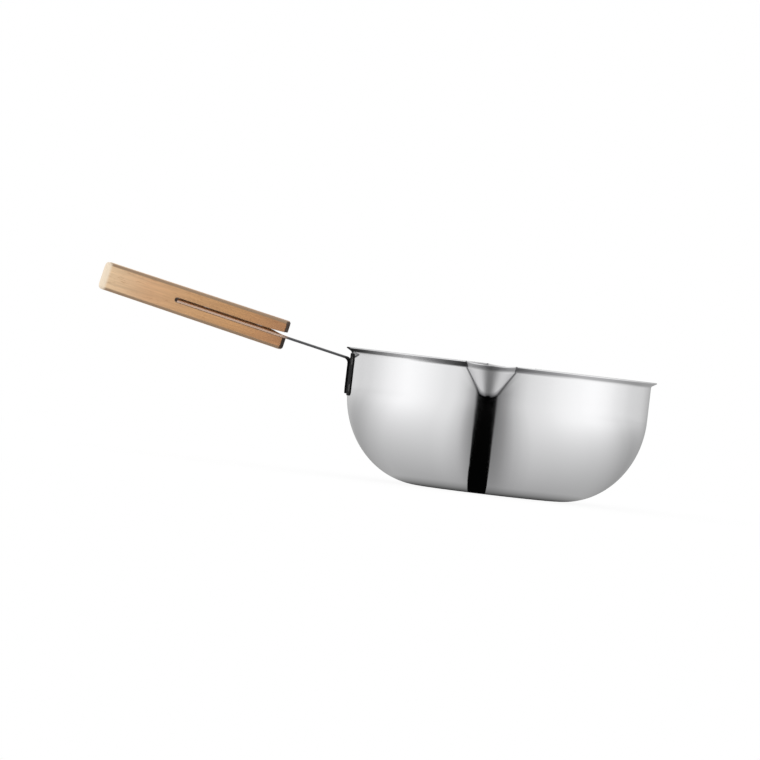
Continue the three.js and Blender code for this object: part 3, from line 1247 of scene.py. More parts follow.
        # Where the painted shade by the bracket starts, and where it takes in the lip's edge
        at_bracket = eased((-point.x - self.black_start) / (self.black_full - self.black_start))
        black_edge = eased((-point.x - self.black_full) / (self.outer_radius - self.black_full))
        edge = self.height - self.sheet * math.sin(self.lip_lean)
        under = max(eased((edge - point.z) / self.lip_edge + 0.5), black_edge)
        over = (point.z - self.wall_top) / self.sheet
        lip = under * eased(over + 0.5)
        beyond = (offset - self.spout.width / 2) / self.lip_shade_length
        beside = min(max(1 - beyond, 0), 1)
        # Painted grey shade under the lip by the spouts, and painted black, a dark reflection, by a
        # spout on the handle's side
        dull = lip * beside * (self.dull if lift < 0 else self.spout_lip_shade)
        dark_lip_reflection = lip * beside * self.dark_lip_reflection if lift < 0 and point.x < 0 else 0
        # Painted black under the lip towards the handle: a painted dark reflection, and painted
        # shade by the bracket
        heat = eased((-point.x - self.lip_shade_start) / (self.lip_shade_full - self.lip_shade_start))
        heated = heat * max(under * eased(over - self.lip_shade_rise / self.sheet), lip * at_bracket)
        return eased(2 * lift / line), max(1 - abs(lift) / line, dull), max(heated, dark_lip_reflection)

    def build(self) -> None:
        """Press the bowl: polished outside, satin inside."""
        outside, inside = self.side(0), self.side(self.sheet)
        profile = [*outside, *self.edge(outside[-1]), *reversed(inside)]
        rings = [self.ring(radius, height) for radius, height in profile]
        piece = skinned("pressed_bowl", rings)
        outer_faces = len(rings[1]) * (len(profile) - len(inside))
        for face in piece.data.polygons:
            face.material_index = int(face.index >= outer_faces)
        # Keep how far each point was drawn out, and how much painted shade it gets
        keep_vectors(piece, WORKED_AND_SHADED, [self.worked_and_shaded(vertex.co) for vertex in piece.data.vertices])
        dip = self.spout.dip / self.spout.reach
        for vertex in piece.data.vertices:
            vertex.co.z -= dip * self.spout.stand(*self.spout_place(vertex.co))
        smooth(piece)
        stand_for(piece, "pot_body", [MIRROR_STAINLESS, SATIN_STAINLESS])


@dataclass(frozen=True)
class Bracket:
    """The bent strap that carries the handle, the seat plate under it and the spot welds.

    Attributes:
        bowl: The bowl that it is welded to.
        tilt: Slope of the tongue.
        gap: Gap between sheets that lie on each other.
        edge: Width of the broken edges of the strap.
        seat_sheet: Thickness of the seat plate.
        seat_width: Width of the seat plate, along the wall.
        seat_lip_gap: Gap between the seat plate and the lip's bend.
        seat_below_strap: How far the seat plate shows under the strap.
        seat_corner: Radius of the seat plate's corners.
        seat_edge: Width of the seat plate's broken edges.
        strap_sheet: Thickness of the strap.
        strap_width: Width of the strap.
        strap_drop: Height from the strap's corner to the lip.
        strap_leg: Length of the strap's leg, up to its corner.
        strap_bend: Radius of the strap's bend.
        strap_corner: Radius of the corners of the leg's end.
        tongue: Length of the tongue, from the strap's corner.
        crown: How far the tongue's middle is crowned inside the handle.
        crown_start: Distance along the tongue where the crown starts.
        crown_length: Length over which it comes up.
        curve_length: Length of tongue over which the wall's curve runs out.
        weld_radius: Radius of a spot weld.
        weld_edge_inset: Distance from a weld to the side of its sheet.
        weld_end_inset: Distance from a weld to the end of its sheet.
        weld_pitch: Distance between the strap's welds, up the leg.
        weld_clearance: Room round a weld.
        weld_dish: Depth of a weld's dished face.
        weld_round: How far in and down the middle of its round edge lies, as shares of its width.
        weld_face: Points of its dished face, as shares of its radius and of the dish's depth.
        screw_holes: Distances of the screw holes along the tongue.
        screw_hole_radius: Radius of the screw holes.
        seat_rows: Number of rows of points up the seat plate.
        seat_columns: Number of columns of points across it.
        strap_rows: Number of rows of points along the leg, round the bend and along the tongue.
    """

    bowl: Bowl
    tilt: float = math.radians(11.7)
    gap: float = 0.1 * MM
    edge: float = 0.22 * MM
    seat_sheet: float = 0.4 * MM
    seat_width: float = 54 * MM
    seat_lip_gap: float = 0.1 * MM
    seat_below_strap: float = 1 * MM
    seat_corner: float = 4 * MM
    seat_edge: float = 0.12 * MM
    strap_sheet: float = 1.25 * MM
    strap_width: float = 18 * MM
    strap_drop: float = 7.1 * MM
    strap_leg: float = 21.1 * MM
    strap_bend: float = 3.5 * MM
    strap_corner: float = 5 * MM
    tongue: float = 109.3 * MM
    crown: float = 1.4 * MM
    crown_start: float = 42 * MM
    crown_length: float = 9 * MM
    curve_length: float = 38 * MM
    weld_radius: float = 2.5 * MM
    weld_edge_inset: float = 4.6 * MM
    weld_end_inset: float = 4.8 * MM
    weld_pitch: float = 10 * MM
    weld_clearance: float = 0.15 * MM
    weld_dish: float = 0.12 * MM
    weld_round: tuple[float, float] = (0.35, 0.3)
    weld_face: tuple[tuple[float, float], ...] = ((0.8, 0.1), (0.62, 0.55), (0.4, 0.9), (0.0, 1.0))
    screw_holes: tuple[float, float] = (58 * MM, 92 * MM)
    screw_hole_radius: float = 2.25 * MM
    seat_rows: int = 14
    seat_columns: int = 24
    strap_rows: tuple[int, int, int] = (9, 14, 32)

    @property
    def corner_height(self) -> float:
        """Height where the lines of the leg and the tongue meet."""
        return self.bowl.height - self.strap_drop

    @property
    def strap_foot(self) -> float:
        """Height of the leg's lower end."""
        return self.corner_height - self.strap_leg

    @property
    def seat_foot(self) -> float:
        """Height of the seat plate's lower end."""
        return self.strap_foot - self.seat_below_strap

    @property
    def seat_top(self) -> float:
        """Height of the seat plate's upper end."""
        return self.bowl.wall_top - self.seat_lip_gap

    @property
    def strap_radius(self) -> float:
        """Radius of the middle of the strap's sheet, from the bowl's axis."""
        return self.bowl.outer_radius + 2 * self.gap + self.seat_sheet + self.strap_sheet / 2

    @property
    def bend_turn(self) -> float:
        """Angle that the strap's bend turns through."""
        return math.pi / 2 - self.tilt

    @property
    def bend_tangent(self) -> float:
        """Distance from the strap's corner to either end of its bend."""
        return self.strap_bend * math.tan(self.bend_turn / 2)

    @property
    def bend_start(self) -> float:
        """Place along the strap where its bend starts."""
        return self.strap_leg - self.bend_tangent

    @property
    def bend_end(self) -> float:
        """Place along the strap where its bend ends."""
        return self.bend_start + self.strap_bend * self.bend_turn

    def welds(self) -> list[tuple[float, float, float]]:
        """Place the welds: four through the strap and four through the seat plate alone.

        Returns:
            Place across, height and outer face of each weld.
        """
        low = self.strap_foot + self.weld_end_inset
        seat_face = self.gap + self.seat_sheet
        strap_face = seat_face + self.gap + self.strap_sheet
        strap_across = self.strap_width / 2 - self.weld_edge_inset
        seat_across = self.seat_width / 2 - self.weld_edge_inset
        return [
            place
            for side in (-1, 1)
            for place in (
                (side * strap_across, low, strap_face),
                (side * strap_across, low + self.weld_pitch, strap_face),
                (side * seat_across, self.seat_foot + self.weld_end_inset, seat_face),
                (side * seat_across, self.seat_top - self.weld_end_inset, seat_face),
            )
        ]

    def weld_holes(self, foot: float, least_face: float) -> list[tuple[float, float, float]]:
        """Holes that the welds fill in a sheet.

        Args:
            foot: Height of the sheet's lower end.
            least_face: Only welds whose outer face lies at least this far out go through it.

        Returns:
            Place along, place across and radius of each hole.
        """
        radius = self.weld_radius + self.weld_clearance
        return [(z - foot, across, radius) for across, z, face in self.welds() if face > least_face]

    def seat_point(self, along: float, across: float, through: float) -> Vector:
        """Lay a point of the seat plate on the wall.

        Args:
            along: Place up the plate, from its lower end.
            across: Place across it.
            through: Place through its sheet, outwards.

        Returns:
            The point.
        """
        z = self.seat_foot + along
        radius = self.bowl.wall_radius(z) + self.gap + self.seat_sheet / 2 + through
        angle = across / self.bowl.outer_radius
        return Vector((-radius * math.cos(angle), radius * math.sin(angle), z))

    def build_seat(self) -> Piece:
        """Cut the seat plate and roll it to the wall.

        Returns:
            The seat plate.
        """
        height = self.seat_top - self.seat_foot
        blank = Blank(
            stations=tuple(height * share for share in shares(self.seat_rows)),
            width=self.seat_width,
            thickness=self.seat_sheet,
            start_radius=self.seat_corner,
            end_radius=self.seat_corner,
            holes=tuple(self.weld_holes(self.seat_foot, 0)),
            columns=self.seat_columns,
        )
        return blank.bent("rolled_seat_plate", self.seat_point, self.seat_edge)

    def strap_point(self, along: float, across: float, through: float) -> Vector:
        """Bend a point of the strap: up the leg, round the bend and out along the tongue.

        Args:
            along: Place along the strap, from the leg's lower end.
            across: Place across it.
            through: Place through its sheet, outwards.

        Returns:
            The point.
        """
        lean = min(max((along - self.bend_start) / self.strap_bend, 0), self.bend_turn)
        rest = max(along - self.bend_end, 0)
        rise = min(along, self.bend_start) + self.strap_bend * math.sin(lean)
        rise += rest * math.sin(self.tilt)
        out = self.strap_bend * (1 - math.cos(lean)) + rest * math.cos(self.tilt)
        z = self.strap_foot + rise
        recede = self.bowl.outer_radius - self.bowl.wall_radius(z)
        curve = 1 - eased(rest / self.curve_length)
        sag = self.strap_radius - math.sqrt(self.strap_radius**2 - across**2)
        risen = eased((rest + self.bend_tangent - self.crown_start) / self.crown_length)
        lift = self.crown * risen * (1 - (2 * across / self.strap_width) ** 2) - through
        x = -self.strap_radius - out + recede + curve * sag + lift * math.cos(lean)
        return Vector((x, across, z + lift * math.sin(lean)))

    def along_tongue(self, distance: float) -> float:
        """Place along the strap of a distance from the corner along the tongue."""
        return self.bend_end - self.bend_tangent + distance

    def build_strap(self) -> Piece:
        """Cut the strap and bend it.

        Returns:
            The strap.
        """
        stops = (0.0, self.bend_start, self.bend_end, self.along_tongue(self.tongue))
        stations = [0.0]
        for (start, end), rows in zip(pairwise(stops), self.strap_rows):
            stations += [start + (end - start) * share for share in shares(rows)[1:]]
        screws = [(self.along_tongue(d), 0.0, self.screw_hole_radius) for d in self.screw_holes]
        blank = Blank(
            stations=tuple(stations),
            width=self.strap_width,
            thickness=self.strap_sheet,
            start_radius=self.strap_corner,
            end_radius=0.0,
            holes=(*self.weld_holes(self.strap_foot, self.strap_sheet), *screws),
            edge_finish=1,
        )
        return blank.bent("bent_strap", self.strap_point, self.edge)

    def build_weld(self, number: int, across: float, height: float, face: float) -> Piece:
        """Make one weld's print: a plug with a dished face.

        Args:
            number: Which weld it is.
            across: Its place across the wall.
            height: Its height.
            face: How far the face of the sheet round it lies from the wall.

        Returns:
            The print, square to the wall.
        """
        radius, chamfer = self.weld_radius, self.weld_clearance
        top = face - self.weld_clearance
        inwards, down = self.weld_round
        profile = [
            (0, self.gap),
            (radius, self.gap),
            (radius, top - chamfer),
            (radius - inwards * chamfer, top - down * chamfer),
            (radius - chamfer, top),
            *((share * radius, top - depth * self.weld_dish) for share, depth in self.weld_face),
        ]
        piece = turned(f"weld_print_{number}", profile)
        smooth(piece)
        turn = math.asin(across / self.bowl.outer_radius)
        lean = self.bowl.wall_lean(height)
        level = Vector((-math.cos(turn), math.sin(turn), 0))
        outwards = level * math.cos(lean) - Vector((0, 0, math.sin(lean)))
        foot = level * self.bowl.wall_radius(height) + Vector((0, 0, height))
        turned_out = outwards.to_track_quat("Z", "Y").to_matrix().to_4x4()
        piece.matrix_world = Matrix.Translation(foot) @ turned_out
        return piece

    def build(self) -> None:
        """Make the seat plate, the strap and the welds."""
        stand_for(self.build_seat(), "seat_plate", [SCALED_STAINLESS])
        strap_finishes = [LINISHED_STAINLESS, SHEARED_STAINLESS]
        stand_for(self.build_strap(), "handle_strap", strap_finishes)
        for number, (across, height, face) in enumerate(self.welds(), 1):
            weld = self.build_weld(number, across, height, face)
            stand_for(weld, f"spot_weld_{number}", [WELD_STAINLESS])


@dataclass(frozen=True)
class Screw:
    """A countersunk screw that stands on its head.

    Attributes:
        length: Length overall.
        shank_radius: Radius of the shank.
        head_radius: Radius of the head.
        head_depth: Depth of the head.
        head_rim: Height of the rim round the head.
        tip: Length of the point.
        recess_span: Span of the cross recess.
        recess_width: Width of its arms.
        recess_depth: Depth of the recess.
        recess_taper: Span over the head's face, at it and at the recess's floor, as shares.
    """

    length: float = 13.5 * MM
    shank_radius: float = 2 * MM
    head_radius: float = 4 * MM
    head_depth: float = 2.6 * MM
    head_rim: float = 0.4 * MM
    tip: float = 2.5 * MM
    recess_span: float = 4.4 * MM
    recess_width: float = 0.9 * MM
    recess_depth: float = 1.5 * MM
    recess_taper: tuple[float, float, float] = (1.05, 1.0, 0.45)

    def profile(self, clearance: float, below: float) -> Profile:
        """Profile of the screw, or of the room that it needs.

        Args:
            clearance: Room round it.
            below: How far the room runs on below the head.

        Returns:
            Radius and height of each point.
        """
        head, shank = self.head_radius + clearance, self.shank_radius + clearance
        return [
            (0, -below),
            (head, -below),
            (head, self.head_rim),
            (shank, self.head_depth + clearance),
            (shank, self.length - self.tip + clearance),
            (0, self.length + clearance),
        ]

    def arm(self, quarter: float) -> Piece:
        """Make the room of one tapered arm of the cross recess.

        Args:
            quarter: Angle that it is turned by.

        Returns:
            The room.
        """
        rings = []
        for share, side in zip(self.recess_taper, (-1, 0, 1)):
            long, wide = self.recess_span / 2 * share, self.recess_width / 2
            depth = side * self.recess_depth
            corners = ((-long, -wide), (long, -wide), (long, wide), (-long, wide))
            rings.append([Vector((x, y, depth)) for x, y in corners])
        arm = skinned("recess_arm", rings)
        arm.data.transform(Matrix.Rotation(quarter, 4, "Z"))
        return arm

    def build(self, name: str) -> Piece:
        """Turn the screw and cut its recess.

        Args:
            name: The piece's name.

        Returns:
            The screw.
        """
        piece = turned(name, self.profile(0, 0))
        carve(piece, [self.arm(0), self.arm(math.pi / 2)])
        smooth(piece)
        return piece


@dataclass(frozen=True)
class Handle:
    """The wooden handle, slotted for the strap's tongue and closed on it by two screws.

    Attributes:
        bracket: The bracket that carries it.
        setback: Distance from the strap's corner to the handle, along the tongue.
        length: Its length.
        width: Its width.
        front: Its thickness at the front.
        rear: Its thickness at the rear.
        rise: How far its middle lies above the slot's.
        edge: Radius of its long edges.
        end: Radius of its rear corners, seen from above.
        chamfer: Width of the broken edge of the square-cut front.
        chamfer_rows: Places of the rows of points along that edge, as shares of its width.
        edge_steps: Number of steps round a long edge.
        end_rows: Number of rows of points along the rear end.
        slot_height: Height of the slot.
        slot_length: Length of the slot.
        slot_flare_rise: How much higher the slot is at its mouth.
        slot_flare_length: Length over which the mouth flares.
        slot_edge: Width of the slot's broken edges.
        slot_steps: Number of steps round the slot's inner end.
        screw: The screws.
        screw_first: Distance from the front to the first screw.
        screw_pitch: Distance from screw to screw.
        screw_sink: How far the screws' heads lie under the wood.
        screw_clearance: Room round a screw.
        overrun: How far a cut runs out of the wood.
    """

    bracket: Bracket
    setback: float = 41.4 * MM
    length: float = 117 * MM
    width: float = 20 * MM
    front: float = 17.78 * MM
    rear: float = 17 * MM
    rise: float = 0.19 * MM
    edge: float = 2.5 * MM
    end: float = 6 * MM
    chamfer: float = 0.8 * MM
    chamfer_rows: tuple[float, ...] = (0.0, 0.4, 1.0)
    edge_steps: int = 7
    end_rows: int = 10
    slot_height: float = 2.9 * MM
    slot_length: float = 69.5 * MM
    slot_flare_rise: float = 0.6 * MM
    slot_flare_length: float = 9 * MM
    slot_edge: float = 0.3 * MM
    slot_steps: int = 12
    screw: Screw = Screw()
    screw_first: float = 16.6 * MM
    screw_pitch: float = 34 * MM
    screw_sink: float = 0.3 * MM
    screw_clearance: float = 0.25 * MM
    overrun: float = 2 * MM

    @property
    def frame(self) -> Matrix:
        """The handle's own frame: its origin is the strap's corner and -X runs along the handle."""
        corner = Vector((-self.bracket.strap_radius, 0, self.bracket.corner_height))
        return Matrix.Translation(corner) @ Matrix.Rotation(self.bracket.tilt, 4, "Y")

    @property
    def slot_floor(self) -> float:
        """Height of the slot's floor in the handle's frame."""
        return -self.bracket.strap_sheet / 2 - self.bracket.gap

    @property
    def middle(self) -> float:
        """Height of the middle of the handle in its frame."""
        return self.slot_floor + self.slot_height / 2 + self.rise

    def thickness(self, along: float) -> float:
        """Thickness at a distance from the front."""
        return self.front + (self.rear - self.front) * along / self.length

    def section(self, along: float) -> list[Vector]:
        """One section: a rectangle with round corners that draws in at both ends.

        Args:
            along: Distance from the front.

        Returns:
            The points round it.
        """
        bevel = max(self.chamfer - along, 0)
        to_end = self.length - along
        half_wide = self.width / 2 - bevel - rounded(self.end, to_end) - self.edge
        half_thick = self.thickness(along) / 2 - bevel - rounded(self.edge, to_end) - self.edge
        points = []
        for quarter, (side, up) in enumerate(((1, 1), (-1, 1), (-1, -1), (1, -1))):
            for share in shares(self.edge_steps):
                turn = (quarter + share) * math.pi / 2
                y = side * half_wide + self.edge * math.cos(turn)
                z = self.middle + up * half_thick + self.edge * math.sin(turn)
                points.append(Vector((-self.setback - along, y, z)))
        return points

    def slot(self) -> Piece:
        """Make the room of the slot: a round inner end and a mouth that flares upwards.

        Returns:
            The room, in the handle's frame.
        """
        front, end = -self.setback, -self.setback - self.slot_length
        floor, top = self.slot_floor, self.slot_floor + self.slot_height
        radius = self.slot_height / 2
        turns = [math.pi / 2 + share * math.pi for share in shares(self.slot_steps)]
        outline = [
            (front + self.overrun, floor),
            (front + self.overrun, top + self.slot_flare_rise),
            (front, top + self.slot_flare_rise),
            (front - self.slot_flare_length, top),
            *(
                (end + radius + radius * math.cos(a), floor + radius + radius * math.sin(a))
                for a in turns
            ),
        ]
        reach = self.width / 2 + self.overrun
        sides = [[Vector((x, y, z)) for x, z in outline] for y in (-reach, reach)]
        return skinned("slot_room", sides)

    def screw_places(self) -> list[Vector]:
        """Place the screws.

        Returns:
            Where their heads lie in the handle's frame.
        """
        places = (self.screw_first, self.screw_first + self.screw_pitch)
        return [
            Vector((-self.setback - d, 0, self.middle - self.thickness(d) / 2 + self.screw_sink))
            for d in places
        ]

    def build_wood(self) -> Piece:
        """Shape the handle, and cut the slot and the rooms of the screws.

        Returns:
            The handle.
        """
        front = [self.chamfer * share for share in self.chamfer_rows]
        rear = [self.length - self.end * step for step in closing(self.end_rows)]
        places = [*front, *reversed(rear)]
        piece = skinned("beech_handle", [self.section(along) for along in places])
        cutters = [self.slot()]
        for place in self.screw_places():
            profile = self.screw.profile(self.screw_clearance, self.screw_sink + self.overrun)
            room = turned("screw_room", profile)
            room.data.transform(Matrix.Translation(place))
            cutters.append(room)
        carve(piece, cutters)
        soften(piece, self.slot_edge)
        piece.matrix_world = self.frame
        return piece

    def build(self) -> None:
        """Make the handle and its screws."""
        wood = self.build_wood()
        wood.visible_glossy = False
        stand_for(wood, "wooden_handle", [OILED_BEECH])
        for end, place in zip(("front", "rear"), self.screw_places()):
            screw = self.screw.build(f"countersunk_screw_{end}")
            screw.matrix_world = self.frame @ Matrix.Translation(place)
            stand_for(screw, f"handle_screw_{end}", [TURNED_STAINLESS])


# The studio


@dataclass(frozen=True)
class Studio:
    """A white floor in a light tent that is open in front.

    The tent's wall is dark beside the opening and brightest at the sides, and its roof is white.
    Metal mirrors the floor dark where the pan stands, and further out more and more like the wall.
    Directions round the tent run from -Y towards +X.

    Attributes:
        floor_radius: Radius of the floor.
        floor_sides: Number of its sides.
        floor_drop: How far the floor lies under the pan, so that the two don't share a face.
        floor_colour: The floor's colour.
        floor_white: How much of the floor beside the pan is plain white to the camera.
        shadow: Distances from the axis where the pan's shadow starts to fade and is gone.
        opening: Direction of the tent's opening.
        opening_half: Half the angle of the opening.
        strip: Distance from the axis, left edge and right edge of the opening's dark strip.
        strip_colour: Colour of that strip as mirrors show it.
        wall: Direction in degrees and level of the tent's wall there.
        brightest: A level above the wall's brightest.
        roof: Level of the roof.
        roof_rise: Where the wall goes over into the roof, as the height of a direction.
        contact: Distances from the axis over which the mirrored floor comes up from black.
        contact_level: Level of the mirrored floor there.
        fade: Distance from the axis where it starts to turn into the wall's level, and the
            length over which it does.
        fade_end: Number of such lengths after which it changes no more.
        fade_turn: Angle from the front over which that gets slower.
        left_shift: How much further to the left the left half of the floor mirrors the wall.
        far_back: Angles from the front over which the floor mirrors less of the wall, and how
            much is left at the back.
        near_back: The same of the mirrored floor near the pan.
    """

    floor_radius: float = 4.0
    floor_sides: int = 96
    floor_drop: float = 0.2 * MM
    floor_colour: str = "#f4f4f4"
    floor_white: float = 0.93
    shadow: tuple[float, float] = (0.12, 0.6)
    opening: float = math.radians(-4.54)
    opening_half: float = math.radians(7.9)
    strip: tuple[tuple[float, float, float], ...] = (
        (45 * MM, -8.3 * MM, 1.9 * MM),
        (60 * MM, -8.9 * MM, 3.4 * MM),
        (80 * MM, -10.5 * MM, 4.8 * MM),
        (116 * MM, -15.9 * MM, 6.8 * MM),
        (185 * MM, -29 * MM, 11 * MM),
        (4.0, -840 * MM, 240 * MM),
    )
    strip_colour: str = "#050505"
    wall: tuple[tuple[float, float], ...] = (
        (-180, 0.4),
        (-150, 0.9),
        (-125, 1.06),
        (-110, 1.17),
        (-95, 1.38),
        (-80, 1.56),
        (-65, 1.6),
        (-40, 1.34),
        (-27, 1.2),
        (-19, 0.87),
        (-13, 0.42),
        (5, 0.33),
        (10, 0.5),
        (14.5, 0.76),
        (19, 0.95),
        (25, 1.15),
        (45, 1.38),
        (70, 1.59),
        (87, 1.6),
        (103, 1.38),
        (120, 1.14),
        (150, 0.86),
        (180, 0.4),
    )
    brightest: float = 1.7
    roof: float = 1.2
    roof_rise: tuple[float, float] = (0.4, 0.7)
    contact: tuple[float, float] = (44 * MM, 60 * MM)
    contact_level: float = 0.45
    fade: tuple[float, float] = (50 * MM, 27 * MM)
    fade_end: float = 200.0
    fade_turn: float = math.radians(48)
    left_shift: float = 9 * MM
    far_back: tuple[float, float, float] = (math.radians(60), math.radians(110), 0.9)
    near_back: tuple[float, float, float] = (math.radians(70), math.radians(125), 0.66)

    def rays(self, tree: Tree) -> tuple[Socket, Socket]:
        """Tell the rays that see plain white and the rays that mirror from the rest.

        Args:
            tree: The tree to work in.

        Returns:
            1 for a ray from the camera or through glass, and 1 for a ray off a glossy surface.
        """
        kinds = add_node(tree, "LightPath").outputs
        feeds = {0: kinds["Is Camera Ray"], 1: kinds["Is Transmission Ray"]}
        seen = add_node(tree, "Math", feeds, operation="MAXIMUM").outputs[0]
        return seen, kinds["Is Glossy Ray"]

    def wall_level(self, tree: Tree, place: Socket) -> tuple[Socket, Socket]:
        """Work out how bright the tent's wall is towards a place.

        Args:
            tree: The tree to work in.
            place: The place, or a direction.

        Returns:
            The direction round the tent, and the wall's level.
        """
        parts = add_node(tree, "SeparateXYZ", {0: place}).outputs
        front = add_node(tree, "Math", {0: parts["Y"], 1: -1.0}, operation="MULTIPLY").outputs[0]
        around = add_node(tree, "Math", {0: parts["X"], 1: front}, operation="ARCTAN2").outputs[0]
        feeds = {"Value": around, "From Min": -math.pi, "From Max": math.pi}
        share = add_node(tree, "MapRange", feeds).outputs[0]
        stops = [
            ((degrees + 180) / 360, [level / self.brightest] * 3 + [1])
            for degrees, level in self.wall
        ]
        ramp = add_node(tree, "ValToRGB", {"Fac": share}, stops)
        ramp.color_ramp.interpolation = "CARDINAL"
        feeds = {0: ramp.outputs["Color"], 1: self.brightest}
        return around, add_node(tree, "Math", feeds, operation="MULTIPLY").outputs[0]

    def tent_level(self, tree: Tree) -> Socket:
        """Work out how bright the tent is in each direction.

        Args:
            tree: The world's tree.

        Returns:
            The level, where 1 is white.
        """
        direction = add_node(tree, "TexCoord").outputs["Generated"]
        around, wall = self.wall_level(tree, direction)
        feeds = {0: around, 1: self.opening, 2: self.opening_half}
        opened = add_node(tree, "Math", feeds, operation="COMPARE").outputs[0]
        shut = add_node(tree, "Mix", {0: opened, 2: wall, 3: 0.0}).outputs[0]
        height = add_node(tree, "SeparateXYZ", {0: direction}).outputs["Z"]
        low, high = self.roof_rise
        feeds = {"Value": height, "From Min": low, "From Max": high}
        up = add_node(tree, "MapRange", feeds).outputs[0]
        return add_node(tree, "Mix", {0: up, 2: shut, 3: self.roof}).outputs[0]

    def build_tent(self) -> None:
        """Light the scene by the tent, and let the camera see plain white."""
        world = bpy.data.worlds.new("light_tent")
        world.use_nodes = True
        tree = world.node_tree
        tree.nodes.clear()
        seen, _ = self.rays(tree)
        level = add_node(tree, "Mix", {0: seen, 2: self.tent_level(tree), 3: 1.0}).outputs[0]
        light = add_node(tree, "Background", {"Color": WHITE, "Strength": level}).outputs[0]
        add_node(tree, "OutputWorld", {"Surface": light})
        bpy.context.scene.world = world

    def mirrored_level(self, tree: Tree, place: Socket, away: Socket) -> Socket:
        """Work out how bright metal mirrors the floor.

        Args:
            tree: The floor's tree.
            place: A place on the floor.
            away: Its distance from the axis.

        Returns:
            The level, where 1 is white.
        """
        parts = add_node(tree, "SeparateXYZ", {0: place}).outputs
        left = add_node(tree, "Math", {0: parts["X"], 1: 0.0}, operation="LESS_THAN").outputs[0]
        feeds = {0: left, 1: -self.left_shift, 2: parts["X"]}
        across = add_node(tree, "Math", feeds, operation="MULTIPLY_ADD").outputs[0]
        shifted = add_node(tree, "CombineXYZ", {"X": across, "Y": parts["Y"]}).outputs[0]
        around, wall = self.wall_level(tree, shifted)
        turn = add_node(tree, "Math", {0: around}, operation="ABSOLUTE").outputs[0]
        low, high = self.contact
        feeds = {"Value": away, "From Min": low, "From Max": high, "To Max": self.contact_level}
        near = add_node(tree, "MapRange", feeds).outputs[0]
        start, length = self.fade
        feeds = {"Value": away, "From Min": start, "From Max": start + self.fade_end * length}
        feeds["To Max"] = -self.fade_end
        run = add_node(tree, "MapRange", feeds).outputs[0]
        feeds = {0: turn, 1: -self.fade_turn}
        angle = add_node(tree, "Math", feeds, operation="DIVIDE").outputs[0]
        slowed = add_node(tree, "Math", {0: angle}, operation="EXPONENT").outputs[0]
        kept = add_node(tree, "Math", {0: run, 1: slowed}, operation="MULTIPLY").outputs[0]
        share = add_node(tree, "Math", {0: kept}, operation="EXPONENT").outputs[0]
        levels = []
        for level, (low, high, left_over) in ((wall, self.far_back), (near, self.near_back)):
            feeds = {"Value": turn, "From Min": low, "From Max": high}
            back = add_node(tree, "MapRange", {**feeds, "To Min": 1.0, "To Max": left_over})
            feeds = {0: level, 1: back.outputs[0]}
            levels.append(add_node(tree, "Math", feeds, operation="MULTIPLY").outputs[0])
        return add_node(tree, "Mix", {0: share, 2: levels[0], 3: levels[1]}).outputs[0]

    def build_floor(self) -> None:
        """Lay the floor."""
        rim = circle(self.floor_radius, self.floor_sides, -self.floor_drop)
        floor = new_piece("pale_floor", rim, [range(len(rim))])
        material, tree = new_material("painted_board_matt_white")
        seen, glossy = self.rays(tree)
        place = add_node(tree, "TexCoord").outputs["Object"]
        away = add_node(tree, "VectorMath", {0: place}, operation="LENGTH").outputs["Value"]
        start, end = self.shadow
        feeds = {"Value": away, "From Min": start, "From Max": end, "To Min": self.floor_white}
        white = add_node(tree, "MapRange", feeds).outputs[0]
        share = add_node(tree, "Mix", {0: seen, 2: glossy, 3: white}).outputs[0]
        # To rays off metal the floor glows: a painted shadow of the pan close to it, and further
        # out a painted copy of the tent wall's light
        feeds = {0: seen, 2: self.mirrored_level(tree, place, away), 3: 1.0}
        level = add_node(tree, "Mix", feeds).outputs[0]
        paint = add_node(tree, "BsdfDiffuse", {"Color": linear(self.floor_colour)}).outputs[0]
        glow = add_node(tree, "Emission", {"Color": WHITE, "Strength": level}).outputs[0]
        both = add_node(tree, "MixShader", {0: share, 1: paint, 2: glow}).outputs[0]
        add_node(tree, "OutputMaterial", {"Surface": both})
        floor.data.materials.append(material)

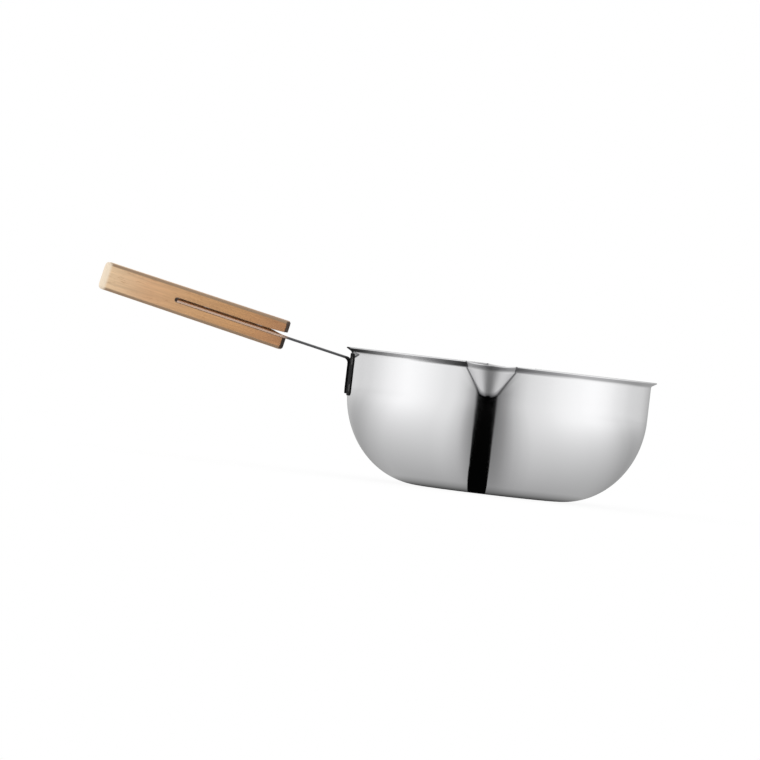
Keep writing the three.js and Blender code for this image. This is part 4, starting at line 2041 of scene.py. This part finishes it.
    def build_strip(self) -> None:
        """Lay the dark strip that the tent's opening leaves on the floor, for mirrors only."""
        left = [Vector((x, -y, 0)) for y, x, _ in self.strip]
        right = [Vector((x, -y, 0)) for y, _, x in self.strip]
        strip = new_piece("dark_strip", [*left, *reversed(right)], [range(2 * len(self.strip))])
        material, tree = new_material("felt_black")
        glow = add_node(tree, "Emission", {"Color": linear(self.strip_colour)}).outputs[0]
        add_node(tree, "OutputMaterial", {"Surface": glow})
        strip.data.materials.append(material)
        strip.visible_camera = strip.visible_diffuse = strip.visible_shadow = False


@dataclass(frozen=True)
class Viewpoint:
    """Where the photograph was taken from.

    Attributes:
        azimuth: Direction of the camera from the pan, from -Y towards +X.
        eye_height: Height of the camera.
        distance: Distance of the camera.
        roll: How far the camera is turned, so that the rim falls to the right.
        picture_width: Width of the picture at the pan.
        aim_across: Middle of the picture, to the right of the bowl's axis.
        aim_height: Height of the middle of the picture.
        far: Distance up to which the camera sees.
    """

    azimuth: float = math.radians(3.75)
    eye_height: float = 82 * MM
    distance: float = 4.0
    roll: float = math.radians(6.75)
    picture_width: float = 458 * MM
    aim_across: float = -71.9 * MM
    aim_height: float = 60.15 * MM
    far: float = 20.0

    def place(self) -> None:
        """Put the camera there."""
        right = Vector((math.cos(self.azimuth), math.sin(self.azimuth), 0))
        back = Vector((math.sin(self.azimuth), -math.cos(self.azimuth), 0))
        aim = right * self.aim_across + Vector((0, 0, self.aim_height))
        eye = back * self.distance + Vector((0, 0, self.eye_height))
        lens = bpy.data.cameras.new("photograph_lens")
        lens.lens = lens.sensor_width * self.distance / self.picture_width
        lens.clip_end = self.far
        camera = bpy.data.objects.new("photograph_camera", lens)
        camera.rotation_mode = "QUATERNION"
        camera.location = eye
        look = (aim - eye).to_track_quat("-Z", "Y")
        camera.rotation_quaternion = look @ Quaternion((0, 0, 1), self.roll)
        bpy.context.scene.collection.objects.link(camera)
        bpy.context.scene.camera = camera


def main() -> None:
    """Build the pan piece by piece, and the studio round it."""
    logging.basicConfig(level=logging.INFO, format="%(name)s: %(message)s")
    bpy.context.scene.view_settings.view_transform = "Standard"
    studio = Studio()
    studio.build_tent()
    studio.build_floor()
    studio.build_strip()
    Viewpoint().place()
    bowl = Bowl()
    bowl.build()
    bracket = Bracket(bowl)
    bracket.build()
    Handle(bracket).build()


if __name__ == "__main__":
    main()
